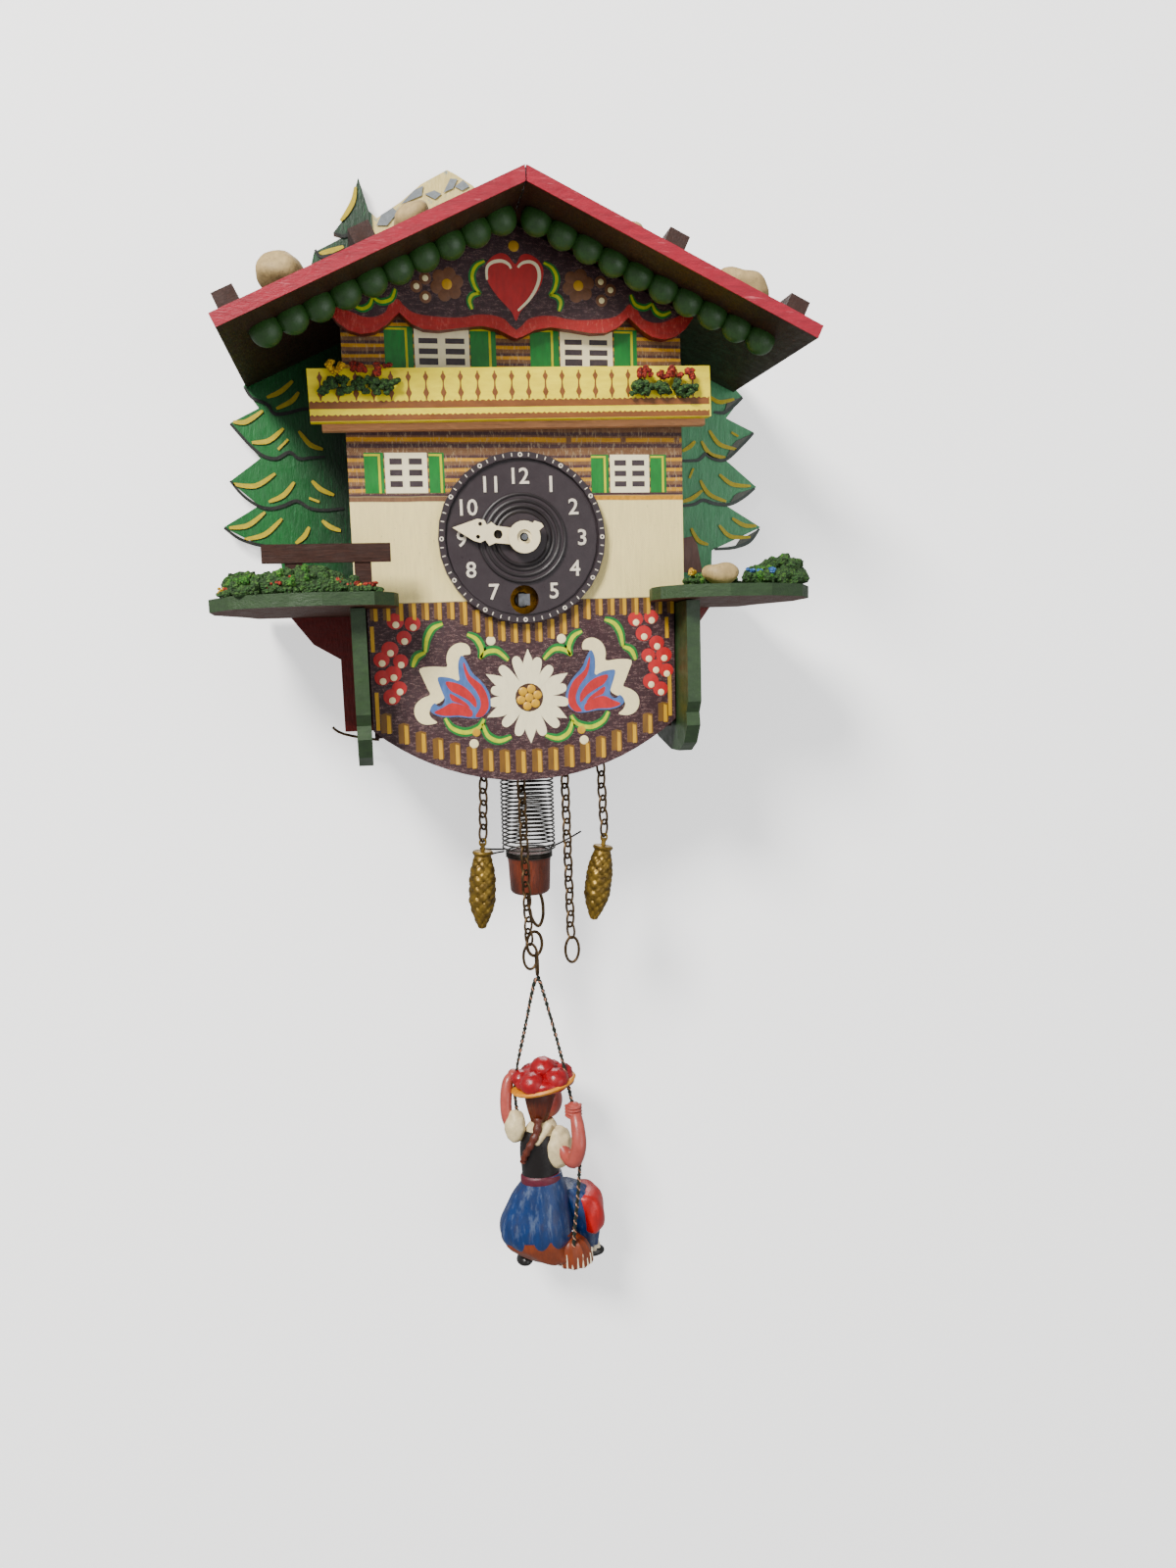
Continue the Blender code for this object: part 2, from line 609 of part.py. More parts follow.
THIRD_AT = beside((0, 0), THIRD_ANGLE, CENTRE_MODULE * (CENTRE_TEETH + THIRD_PINION) / 2)
ESCAPE_AT = beside(THIRD_AT, ESCAPE_ANGLE, THIRD_MODULE * (THIRD_TEETH + ESCAPE_PINION) / 2)
MINUTE_AT = (-MINUTE_MODULE * (CANNON_TEETH + MINUTE_TEETH) / 2, 0)
GREAT_MODULE = -2 * WIND_Z / (GREAT_TEETH + CENTRE_PINION)
GREAT_Y = (-25.5, -24.5)
CENTRE_Y = (-30.2, -29.4)
THIRD_Y = (-27.6, -26.8)
ESCAPE_Y = (-21.4, -20.4)
PLATE = [(-23, -29), (20, -29), (20, 22), (-23, 22)]
PILLARS = [(-20.4, -26.4), (17.4, -26.4), (17.4, 19.4), (-20.4, 19.4)]


def movement_frame():
    front = facing("movement_front_plate", PLATE, FRONT_PLATE_Y[0], FRONT_PLATE_Y[1], BRASS)
    holes = [(0, 0, ARBOR_R + GAP), (0, WIND_Z, WIND_R + GAP)]
    holes += [(*THIRD_AT, PIVOT_R + GAP), (*ESCAPE_AT, PIVOT_R + GAP), (*LEVER_PIVOT, PIVOT_R + GAP)]
    cut(front, *[rod(f"p{i}", r, -36, -32, (x, z), BRASS, 14) for i, (x, z, r) in enumerate(holes)])
    post = rod("minute_post", 0.6, -38.0, -34.3, MINUTE_AT, BRASS, 12)
    unite(front, post)
    back = facing("movement_back_plate", PLATE, BACK_PLATE_Y[0], BACK_PLATE_Y[1], BRASS)
    cut(back, *[rod(f"q{i}", r, -14, -11, (x, z), BRASS, 14) for i, (x, z, r) in enumerate(holes)])
    for centre in PILLARS:
        unite(back, rod("pillar", 1.5, FRONT_PLATE_Y[1] + GAP, BACK_PLATE_Y[0] + 0.4, centre, BRASS, 12))
    return front


def winding():
    """The key square with its ratchet, and the coiled mainspring round it."""
    arbor = rod("winding_arbor", WIND_R, -33.9, -11.6, (0, WIND_Z), STEEL, 14)
    square = 1.4
    unite(arbor, block("square", (-square, square), (-39.0, -33.8), (WIND_Z - square, WIND_Z + square),
        STEEL))
    unite(arbor, rod("neck", WIND_R, -34.9, -33.0, (0, WIND_Z), STEEL, 14))
    saw = []
    for i in range(14):
        a, b = math.tau * i / 14, math.tau * (i + 0.75) / 14
        saw += [(5.2 * math.cos(a), WIND_Z + 5.2 * math.sin(a)),
            (4.1 * math.cos(b), WIND_Z + 4.1 * math.sin(b))]
    unite(arbor, facing("ratchet", saw, -29.0, -28.0, STEEL))
    on_axis(arbor, (0, -39, WIND_Z))
    click = rod("click", 1.2, FRONT_PLATE_Y[1] + GAP, -28.0, (9.6, WIND_Z + 2.5), STEEL, 10)
    pawl = [(9.0, WIND_Z + 3.4), (5.7, WIND_Z + 1.6), (5.8, WIND_Z + 0.9), (9.6, WIND_Z + 1.5)]
    unite(click, facing("pawl", pawl, -29.0, -28.1, STEEL))
    spiral = []
    turns, per_turn = 5, 14
    for i in range(turns * per_turn + 1):
        a = math.tau * i / per_turn
        r = 3.0 + 1.55 * i / per_turn
        spiral.append((r, a))
    inner = [(r * math.cos(a), WIND_Z + r * math.sin(a)) for r, a in spiral]
    outer = [((r + 0.5) * math.cos(a), WIND_Z + (r + 0.5) * math.sin(a)) for r, a in spiral]
    facing("mainspring", inner + outer[::-1], -22.0, -15.6, STEEL)


def going_train():
    up = math.pi / 2
    great = toothed("great_wheel", GREAT_TEETH, GREAT_MODULE, up, (0, WIND_Z), *GREAT_Y, BRASS)
    cut(great, rod("bore", WIND_R + GAP, -27, -23, (0, WIND_Z), BRASS, 14))
    on_axis(great, (0, GREAT_Y[0], WIND_Z))

    centre = rod("centre_arbor", ARBOR_R, -43.6, -11.6, (0, 0), STEEL, 12)
    pinion_phase = -up + math.pi / CENTRE_PINION
    unite(centre, toothed("leaf", CENTRE_PINION, GREAT_MODULE, pinion_phase, (0, 0), -26.3, -23.7, STEEL))
    unite(centre, toothed("wheel", CENTRE_TEETH, CENTRE_MODULE, THIRD_ANGLE, (0, 0), *CENTRE_Y, BRASS))
    unite(centre, toothed("cannon", CANNON_TEETH, MINUTE_MODULE, math.pi, (0, 0), -36.2, -35.2, BRASS))
    on_axis(centre, (0, -43, 0))

    third = rod("third_wheel", PIVOT_R, -34.7, -12.3, THIRD_AT, STEEL, 10)
    phase = THIRD_ANGLE + math.pi + math.pi / THIRD_PINION
    unite(third, toothed("leaf", THIRD_PINION, CENTRE_MODULE, phase, THIRD_AT, -31.0, -28.7, STEEL))
    unite(third, toothed("wheel", THIRD_TEETH, THIRD_MODULE, ESCAPE_ANGLE, THIRD_AT, *THIRD_Y, BRASS))
    on_axis(third, (THIRD_AT[0], -34, THIRD_AT[1]))

    escape = rod("escape_wheel", PIVOT_R, -34.7, -12.3, ESCAPE_AT, STEEL, 10)
    phase = ESCAPE_ANGLE + math.pi + math.pi / ESCAPE_PINION
    unite(escape, toothed("leaf", ESCAPE_PINION, THIRD_MODULE, phase, ESCAPE_AT, -28.4, -26.2, STEEL))
    saw = []
    for i in range(ESCAPE_TEETH):
        a, b = math.tau * i / ESCAPE_TEETH, math.tau * (i + 0.35) / ESCAPE_TEETH
        saw.append((ESCAPE_AT[0] + 5.6 * math.cos(a), ESCAPE_AT[1] + 5.6 * math.sin(a)))
        saw.append((ESCAPE_AT[0] + 4.4 * math.cos(b), ESCAPE_AT[1] + 4.4 * math.sin(b)))
    unite(escape, facing("saw", saw, *ESCAPE_Y, BRASS))
    on_axis(escape, (ESCAPE_AT[0], -34, ESCAPE_AT[1]))


def motion_work():
    minute = toothed("minute_wheel", MINUTE_TEETH, MINUTE_MODULE, math.pi / MINUTE_TEETH, MINUTE_AT,
        -36.1, -35.3, BRASS)
    unite(minute, toothed("leaf", MINUTE_PINION, HOUR_MODULE, 0, MINUTE_AT, -37.9, -35.9, BRASS))
    cut(minute, rod("bore", 0.85, -40, -33, MINUTE_AT, BRASS, 12))
    on_axis(minute, (MINUTE_AT[0], -37, 0))
    phase = math.pi + math.pi / HOUR_TEETH
    hour = toothed("hour_wheel", HOUR_TEETH, HOUR_MODULE, phase, (0, 0), -37.7, -36.9, BRASS)
    unite(hour, rod("pipe", 1.7, -42.0, -37.2, (0, 0), BRASS, 14))
    cut(hour, rod("bore", ARBOR_R + 0.3, -44, -35, (0, 0), BRASS, 12))
    on_axis(hour, (0, -37, 0))


def escape_lever():
    """Pallets over the escape wheel, on an arbor whose rear arm carries the bobbing spring."""
    x, z = LEVER_PIVOT
    lever = rod("escape_lever", PIVOT_R, -34.7, -10.4, LEVER_PIVOT, STEEL, 10)
    toward = math.atan2(ESCAPE_AT[1] - z, ESCAPE_AT[0] - x)
    for side in (-1, 1):
        reach = beside(LEVER_PIVOT, toward + side * 0.95, 5.0)
        tip = beside(reach, toward - side * 0.1, 1.3)
        middle = [(x - 0.9 * math.sin(toward), z + 0.9 * math.cos(toward))]
        middle += [(x + 0.9 * math.sin(toward), z - 0.9 * math.cos(toward))]
        outline = [middle[0], middle[1], reach, tip] if side < 0 else [middle[1], middle[0], reach, tip]
        unite(lever, facing("arm", outline, *ESCAPE_Y, STEEL))
    unite(lever, rod("boss", 1.5, ESCAPE_Y[0], ESCAPE_Y[1], LEVER_PIVOT, STEEL, 12))
    path = [(x, -10.9, z), (x + 6, -9.6, z - 9), (x + 12, -9.2, z - 21), (BOB_X - 1, -10.6, -36)]
    path += [(BOB_X, -14.5, -40.4), (BOB_X, BOB_Y, -42.4), (BOB_X, BOB_Y - 3, -41.6)]
    unite(lever, tube("arm_wire", smooth_path(path, 4), 0.5, STEEL, 6))
    return on_axis(lever, (x, -12, z))


# ---------------------------------------------------------------- bobbing spring, swing and girl


def coil_spring():
    per_turn = 9
    path = []
    for i in range(SPRING_TURNS * per_turn + 1):
        a = math.tau * i / per_turn
        z = SPRING_TOP_Z + (SPRING_BOTTOM_Z - SPRING_TOP_Z) * i / (SPRING_TURNS * per_turn)
        path.append((BOB_X + SPRING_R * math.cos(a), BOB_Y + SPRING_R * math.sin(a), z))
    return tube("coil_spring", path, SPRING_WIRE_R, STEEL, 3)


def spring_plug():
    top, low = PLUG_TOP_Z, PLUG_TOP_Z - PLUG_HEIGHT
    profile = [(0, top), (PLUG_R, top), (PLUG_R + 0.25, top - 1), (PLUG_R - 0.4, low + 0.6),
        (PLUG_R - 1, low), (0, low)]
    plug = turned("spring_plug", profile, (BOB_X, BOB_Y), DARK_WOOD, 24, "Z")
    return on_axis(plug, (BOB_X, BOB_Y, top))


def plug_hook():
    low = PLUG_TOP_Z - PLUG_HEIGHT
    path = [(BOB_X - 0.6, BOB_Y, low - 0.35), (BOB_X - 0.6, BOB_Y, low - 4),
        (BOB_X + 0.4, BOB_Y, low - 8)]
    path += [(BOB_X + 2.0, BOB_Y, low - 9.6), (BOB_X + 3.2, BOB_Y, low - 7),
        (BOB_X + 3.2, BOB_Y, low - 3)]
    path.append((BOB_X + 2.4, BOB_Y, low - 0.35))
    hook = tube("plug_hook", smooth_path(path, 3), 0.45, BRONZE, 6)
    return on_axis(hook, (BOB_X, BOB_Y, low))


def swing():
    pivot = (BOB_X + 1.4, BOB_Y, SWING_PIVOT_Z)
    link = oval_ring("swing_link", (BOB_X + 0.6, BOB_Y, -106.9), 2.1, 3.4, 0.45, BRONZE, 0.1)
    lower = oval_ring("lower_link", (BOB_X + 1.1, BOB_Y, -112.6), 1.5, 3.2, 0.42, BRONZE, 0.0, True)
    unite(link, lower)
    on_axis(link, pivot)
    rope = tube("swing_rope", smooth_path(ROPE, 3), ROPE_R, CORD, 6)
    on_axis(rope, pivot)


ROPE_R = 0.62
ROPE = [(-1.6, -12.4, -190), (-1.4, -12.2, -176), (-2.9, -12.8, -162), (-4.2, -15.4, -148),
    (-0.9, -18.0, -130)]
ROPE += [(1.6, -19, -118.6), (2.6, -19, -117.1), (3.6, -19, -118.6), (8.0, -19.6, -137),
    (10.4, -21.6, -150)]
ROPE += [(12.2, -24.2, -162), (11.6, -24.4, -174), (10.4, -23.8, -186), (9.9, -22.4, -194.4)]


def swing_girl():
    """A carved girl seen from behind: skirt, bodice, hair, hat, arms raised to the ropes, knees and shoes."""
    skirt = turned(
        "swing_girl",
        [(0, -173.6), (3.4, -173.8), (4.6, -178), (7.2, -185), (9.4, -191.4), (9.2, -194.4), (0, -195.4)],
        (1.2, -18.2), FIGURE, 14, "Z",
    )
    lumps = [
        ((4.4, -17.4, -165.6), (4.0, 3.3, 9.4)),
        ((0.2, -17.6, -160.8), (4.4, 2.8, 3.2)),
        ((5.8, -16.6, -153.4), (3.6, 3.6, 5.2)),
        ((4.9, -17.4, -148.2), (8.1, 7.2, 2.0)),
        ((4.4, -17.4, -145.0), (6.6, 6.0, 4.2)),
        ((-5.0, -17.8, -160.6), (3.2, 3.2, 4.0)),
        ((8.0, -19.2, -164.4), (4.4, 3.9, 4.7)),
        ((12.6, -12.4, -184), (6.6, 8.6, 6.4)),
        ((16.4, -10.4, -195), (4.4, 6.6, 6.4)),
        ((17.4, -10.6, -202.6), (3.4, 2.4, 1.5)),
        ((-2.8, -15.4, -199.2), (2.4, 3.0, 2.0)),
        ((-1.8, -15.8, -196), (1.7, 1.7, 3.6)),
    ]
    for i, (centre, radii) in enumerate(lumps):
        unite(skirt, ellipsoid(f"lump{i}", centre, radii, FIGURE, 8, 6))
    left_arm = [(-5.6, -17.6, -160.4), (-8.3, -16.8, -156), (-7.6, -15.6, -150), (-5.7, -13.8, -146.2)]
    right_arm = [(8.2, -20.2, -164), (10.6, -20.6, -165.4), (12.0, -21.0, -160), (12.0, -21.2, -155),
        (11.6, -21.4, -152.6)]
    for path in (left_arm, right_arm):
        unite(skirt, tube("arm", smooth_path(path, 2), 1.75, FIGURE, 6))
    groove = tube("rope_groove", smooth_path(ROPE, 3), ROPE_R + 0.35, FIGURE, 6)
    cut(skirt, groove)
    return on_axis(skirt, (BOB_X + 1.4, BOB_Y, SWING_PIVOT_Z))


def swing_seat():
    """The seat under the skirt, which the rope's ends come down to."""
    outline = [(3, -197.4), (6, -199.6), (14.6, -200.4), (16, -198.6), (14.2, -195.2), (10.4, -194.9)]
    seat = facing("swing_seat", outline, -28.6, -24.6, WOOD)
    return seat


# ---------------------------------------------------------------- chains and cones


def chain_solid(name, top_x, low_x, low_z):
    """One solid with a curb chain's outer shape: a ribbon that turns a quarter at every link."""
    length = CHAIN_TOP_Z - low_z
    count = max(4, round(length / CHAIN_LINK) * 2)
    loops = []
    for i in range(count + 1):
        t = i / count
        a = math.pi / 4 * i
        c, s = math.cos(a), math.sin(a)
        loop = []
        for u, v in ((-1, -1), (1, -1), (1, 1), (-1, 1)):
            du, dv = u * CHAIN_WIDTH / 2, v * CHAIN_THICK / 2
            x = top_x + (low_x - top_x) * t + du * c - dv * s
            loop.append((x, CHAIN_Y + du * s + dv * c, CHAIN_TOP_Z - length * t))
        loops.append(loop)
    return rings(name, loops, BRONZE)


def chains():
    rail = block("chain_rail", (-16, 24), (CHAIN_Y - 1.6, CHAIN_Y + 1.6), (-48.6, -47.8), STEEL)
    for x in sorted(spec[0] for spec in (*CONE_CHAINS.values(), *LOOSE_CHAINS.values())):
        path = [(x + 1.1 * math.cos(a), CHAIN_Y,
            -48.5 + 1.7 * math.sin(a)) for a in [math.pi * (1 + k / 5) for k in range(6)]]
        path = [(x - 1.1, CHAIN_Y, -48.2)] + path + [(x + 1.1, CHAIN_Y, -48.2)]
        unite(rail, tube("staple", path, 0.35, STEEL, 5))
    for side, (top_x, low_x, low_z) in CONE_CHAINS.items():
        on_axis(chain_solid(f"cone_chain_{side}", top_x, low_x, low_z), (top_x, CHAIN_Y, STAPLE_Z))
        cone(f"cone_{side}", CONES[side], (top_x, CHAIN_Y, STAPLE_Z))
    for side, (top_x, low_x, low_z) in LOOSE_CHAINS.items():
        chain = chain_solid(f"loose_chain_{side}", top_x, low_x, low_z)
        ring = oval_ring("end_ring", (low_x + 0.2, CHAIN_Y, low_z - 3.1), 1.9, 3.4, 0.4, BRONZE, 0.2)
        on_axis(unite(chain, ring), (top_x, CHAIN_Y, STAPLE_Z))


def cone(name, ends, pivot):
    """A turned pine cone with a collar, leaning along its own axis."""
    top, low = Vector((ends[0][0], CHAIN_Y, ends[0][1])), Vector((ends[1][0], CHAIN_Y, ends[1][1]))
    length = (top - low).length
    profile = [(0, 0), (0.6, 0), (0.6, 1.9), (2.6, 2.0), (2.7, 2.9), (2.2, 3.3), (2.3, 4.0), (3.1, 7.6),
        (3.4, 11.4)]
    profile += [(3.0, 15.4), (1.9, 19.4), (0.7, length - 0.3), (0, length)]
    made = turned(name, [(r, -h) for r, h in profile], (0, 0), CONE_GOLD, 10, "Z")
    lean = Vector((0, 0, -1)).rotation_difference(low - top).to_matrix().to_4x4()
    made.data.transform(Matrix.Translation(top * MM) @ lean)
    return on_axis(made, pivot)


def main():
    for old in list(bpy.data.objects):
        bpy.data.objects.remove(old)
    back_board()
    front_panel()
    side_walls()
    case_floor()
    gable_board()
    bead_trims()
    roof()
    roof_load()
    balcony()
    shelf("shelf_left", -1, 74.5)
    shelf("shelf_right", 1, 74.0)
    bracket("bracket_left", -1)
    bracket("bracket_right", 1)
    shelf_dressing()
    clip_wire()
    dial()
    hour_hand()
    minute_hand()
    movement_frame()
    winding()
    going_train()
    motion_work()
    escape_lever()
    coil_spring()
    spring_plug()
    plug_hook()
    swing()
    swing_girl()
    swing_seat()
    chains()
    round_off()


main()
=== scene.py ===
"""Looks of the miniature chalet wall clock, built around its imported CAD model.

Lengths in this file are millimetres of the object's frame: x to the right, y back into the wall,
z up from the dial's centre. Form and Shader turn them into Blender's metres.
"""

import math
import random

import bmesh
import bpy
from mathutils import Matrix, Vector, noise


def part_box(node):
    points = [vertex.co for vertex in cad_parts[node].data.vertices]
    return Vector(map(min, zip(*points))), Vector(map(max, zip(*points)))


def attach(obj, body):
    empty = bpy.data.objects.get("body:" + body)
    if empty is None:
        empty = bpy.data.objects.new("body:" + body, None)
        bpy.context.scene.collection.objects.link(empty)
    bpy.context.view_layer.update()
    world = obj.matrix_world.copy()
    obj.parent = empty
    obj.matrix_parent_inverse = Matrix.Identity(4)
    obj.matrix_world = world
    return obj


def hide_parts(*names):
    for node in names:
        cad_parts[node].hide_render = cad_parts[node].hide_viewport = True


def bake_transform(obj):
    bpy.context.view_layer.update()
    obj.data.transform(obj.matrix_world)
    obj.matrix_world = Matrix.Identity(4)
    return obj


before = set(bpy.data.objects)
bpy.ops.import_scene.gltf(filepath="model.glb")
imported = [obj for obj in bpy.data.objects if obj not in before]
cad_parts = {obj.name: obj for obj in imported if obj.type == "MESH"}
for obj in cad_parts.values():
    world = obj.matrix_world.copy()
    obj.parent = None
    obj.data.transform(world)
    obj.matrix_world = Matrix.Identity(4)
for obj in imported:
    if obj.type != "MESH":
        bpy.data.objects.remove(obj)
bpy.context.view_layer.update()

MM = 0.001
SATURATION = 1.25
DEPTH = 1.15
PAINT = 0.09  # thickness of a painted motif
ROOF_SLOPE = 0.4727
ROOF_UNDER_APEX = 72.18
PANEL_FRONT = -38.1
BOARD_FRONT = -3.3
GABLE_FRONT = -41.4
CHAIN_Y = -32.0
GABLE_BORDER = (
    (0, 47.6), (1.1, 48.4), (3.5, 50.3), (8.4, 50.9), (12.6, 50.2), (18.1, 50.2), (23.6, 51.0), (25.9,
        52.6),
    (27.6, 53.9), (30.4, 50.8), (33.8, 49.8), (38.1, 51.0), (40.5, 51.8), (43.5, 51.6),
)  # half of the line between the gable's red border and its dark ground


def rgb(code):
    """Linear colour from a hex code, made stronger to make up for the soft film-like view."""
    out = []
    for i in (0, 2, 4):
        c = int(code[i : i + 2], 16) / 255
        out.append(c / 12.92 if c <= 0.04045 else ((c + 0.055) / 1.055) ** 2.4)
    grey = 0.2126 * out[0] + 0.7152 * out[1] + 0.0722 * out[2]
    return (*(min(1.0, max(0.0, grey + (c - grey) * SATURATION)) ** DEPTH for c in out), 1.0)


def shade(colour, factor):
    return (*(min(1.0, c * factor) for c in colour[:3]), 1.0)


# ---------------------------------------------------------------- materials


class Shader:
    """One procedural material on a Principled shader, with its textures in millimetres."""

    def __init__(self, name):
        self.material = bpy.data.materials.new(name)
        self.material.use_nodes = True
        self.tree = self.material.node_tree
        self.bsdf = self.tree.nodes["Principled BSDF"]
        coords = self.tree.nodes.new("ShaderNodeTexCoord").outputs["Object"]
        self.place = self.node("ShaderNodeVectorMath", {0: coords, 1: (1000, 1000, 1000)},
            operation="MULTIPLY")
        self.x, self.y, self.z = (self.node("ShaderNodeSeparateXYZ", {0: self.place},
            out=i) for i in range(3))

    def node(self, kind, inputs, out=0, **settings):
        node = self.tree.nodes.new(kind)
        for key, value in settings.items():
            setattr(node, key, value)
        for key, value in inputs.items():
            if isinstance(value, bpy.types.NodeSocket):
                self.tree.links.new(value, node.inputs[key])
            else:
                node.inputs[key].default_value = value
        return node.outputs[out]

    def math(self, op, a, b=0.0, c=0.0):
        return self.node("ShaderNodeMath", {0: a, 1: b, 2: c}, operation=op)

    def scaled(self, stretch, size, shift=0.0):
        scale = tuple(s / size for s in stretch)
        return self.node("ShaderNodeVectorMath", {0: self.place, 1: scale, 2: (shift, shift, shift)},
            operation="MULTIPLY_ADD")

    def noise(self, size, stretch=(1, 1, 1), detail=3.0, rough=0.55, shift=0.0):
        vector = self.scaled(stretch, size, shift)
        return self.node("ShaderNodeTexNoise", {"Vector": vector, "Scale": 1.0, "Detail": detail,
            "Roughness": rough})

    def cells(self, size):
        return self.node("ShaderNodeTexVoronoi", {"Vector": self.scaled((1, 1, 1), size), "Scale": 1.0})

    def step(self, value, edge, soft=0.05):
        inputs = {0: value, 1: edge - soft, 2: edge + soft, 3: 0.0, 4: 1.0}
        return self.node("ShaderNodeMapRange", inputs, clamp=True)

    def within(self, value, low, high, soft=0.05):
        return self.math("SUBTRACT", self.step(value, low, soft), self.step(value, high, soft))

    def times(self, a, b):
        """The product, which is also where both masks are 1."""
        return self.math("MULTIPLY", a, b)

    def minus(self, a):
        return self.math("MULTIPLY", a, -1.0)

    def either(self, a, b):
        return self.math("MAXIMUM", a, b)

    def mix(self, fac, a, b):
        return self.node("ShaderNodeMix", {0: fac, 6: a, 7: b}, out=2, data_type="RGBA")

    def wavy(self, value, size, amount, stretch=(1, 1, 1)):
        """value moved back and forth by noise."""
        return self.math("MULTIPLY_ADD", self.math("SUBTRACT", self.noise(size, stretch), 0.5), amount,
            value)

    def varied(self, colour, streak=1.5, stretch=(1, 1, 1), spread=0.3, patch=14.0):
        """A colour that drifts lighter and darker in streaks and in larger patches."""
        fine = self.step(self.noise(streak, stretch, 4.0, 0.6), 0.5, 0.22)
        broad = self.step(self.noise(patch, (1, 1, 1), 2.0, 0.5, 7.0), 0.5, 0.25)
        lively = self.mix(fine, shade(colour, 1 - spread), shade(colour, 1 + spread))
        return self.mix(self.math("MULTIPLY", broad, 0.35), lively, shade(colour, 1 - 1.4 * spread))

    def finish(self, colour, rough=0.5, spread=0.12, relief=None, depth=0.1, metallic=0.0, **sockets):
        """Links colour, a roughness that wanders by spread, and a bump of depth millimetres."""
        self.link(colour, "Base Color")
        wander = self.noise(3.1, detail=2.0, shift=11.0)
        self.link(self.node("ShaderNodeMapRange", {0: wander, 1: 0.25, 2: 0.75, 3: rough - spread,
            4: rough + spread}), "Roughness")
        if relief is not None:
            bump = self.node("ShaderNodeBump", {"Height": relief, "Strength": 1.0, "Distance": depth * MM})
            self.link(bump, "Normal")
        self.bsdf.inputs["Metallic"].default_value = metallic
        for key, value in sockets.items():
            self.bsdf.inputs[key.replace("_", " ")].default_value = value
        return self.material

    def link(self, value, key):
        self.tree.links.new(value, self.bsdf.inputs[key])


def painted(name, code, spread=0.16, stretch=(1, 1, 1), rough=0.46):
    """Brushed paint."""
    s = Shader(name)
    colour = s.varied(rgb(code), 1.1, stretch, spread)
    return s.finish(colour, rough, 0.1, s.noise(0.55, stretch, 4.0, 0.65), 0.06)


def wood(name, code, along="x", spread=0.25, rough=0.6, depth=0.12):
    """Bare or stained wood with long grain along one axis."""
    s = Shader(name)
    stretch = {"x": (0.09, 1, 1), "y": (1, 0.09, 1), "z": (1, 1, 0.09)}[along]
    ring = s.noise(2.4, stretch, 3.0, 0.6)
    lines = s.math("FRACT", s.times(ring, 7.0))
    fibre = s.noise(0.4, stretch, 4.0, 0.7, 5.0)
    base = rgb(code)
    colour = s.mix(lines, shade(base, 1 - spread), shade(base, 1 + spread * 0.6))
    colour = s.mix(s.step(fibre, 0.6, 0.1), colour, shade(base, 0.62))
    return s.finish(colour, rough, 0.1, s.math("ADD", fibre, s.times(lines, 0.3)), depth)


def metal(name, code, rough=0.35, tarnish="", metallic=0.9):
    """Metal with fine scratches and dull patches."""
    s = Shader(name)
    base = rgb(code)
    dull = s.step(s.noise(2.6, (1, 1, 1), 4.0, 0.65, 2.0), 0.55, 0.14)
    colour = s.mix(dull, s.varied(base, 0.6, (1, 1, 1), 0.15),
        rgb(tarnish) if tarnish else shade(base, 0.5))
    return s.finish(colour, rough, 0.12, s.noise(0.3, (1, 1, 1), 4.0, 0.7), 0.02, metallic)


def skirt_paint():
    """Deep blue gloss paint with pale brush strokes down the folds."""
    s = Shader("skirt_paint")
    colour = s.varied(rgb("153561"), 1.6, (1, 1, 0.25), 0.3)
    stroke = s.step(s.noise(1.5, (1, 1, 0.16), 4.0, 0.65, 3.0), 0.6, 0.08)
    colour = s.mix(s.times(stroke, 0.4), colour, rgb("7f8a9c"))
    dirt = s.step(s.noise(3.0, (1, 1, 0.5), 4.0, 0.6, 8.0), 0.62, 0.1)
    colour = s.mix(s.times(dirt, 0.5), colour, rgb("3b3340"))
    return s.finish(colour, 0.36, 0.1, s.noise(0.7, (1, 1, 0.3), 4.0, 0.7), 0.12)


def plastic(name, code, rough=0.38, spread=0.06):
    s = Shader(name)
    dirt = s.step(s.noise(0.9, (1, 1, 1), 5.0, 0.7, 4.0), 0.66, 0.08)
    colour = s.mix(s.times(dirt, 0.4), s.varied(rgb(code), 2.0, (1, 1, 1), spread), shade(rgb(code), 0.55))
    return s.finish(colour, rough, 0.08, s.noise(0.5), 0.03)


def flock(name, codes):
    """Crumbly dyed flock, in two or three tints, with painted shade in the gaps between crumbs."""
    s = Shader(name)
    colour = rgb(codes[0])
    for i, code in enumerate(codes[1:]):
        colour = s.mix(s.step(s.noise(0.9, (1, 1, 1), 3.0, 0.7, 9.0 * i), 0.55, 0.06), colour, rgb(code))
    crumbs = s.cells(0.55)
    # Painted shade: the colour is darkened towards near black in the gaps between crumbs, where the bump is
    # lowest.
    colour = s.mix(s.step(crumbs, 0.55, 0.2), colour, s.mix(0.55, colour, (0.01, 0.012, 0.004, 1)))
    return s.finish(colour, 0.9, 0.06, s.math("SUBTRACT", 1.0, crumbs), 0.5)


def woven(s):
    """Height of a plain weave in the x-z plane."""
    over = s.math("SINE", s.times(s.x, math.tau / 0.5))
    under = s.math("SINE", s.times(s.z, math.tau / 0.5))
    return s.math("MULTIPLY_ADD", s.times(over, under), 0.25, s.noise(0.5, (1, 1, 0.3), 4.0, 0.7))


def stripes(s, value, pitch, width, shift):
    """1 inside stripes of a width that repeat at a pitch along value."""
    phase = s.math("WRAP", s.math("ADD", value, shift), pitch, 0.0)
    return s.within(phase, 0.12, width + 0.12, 0.12)


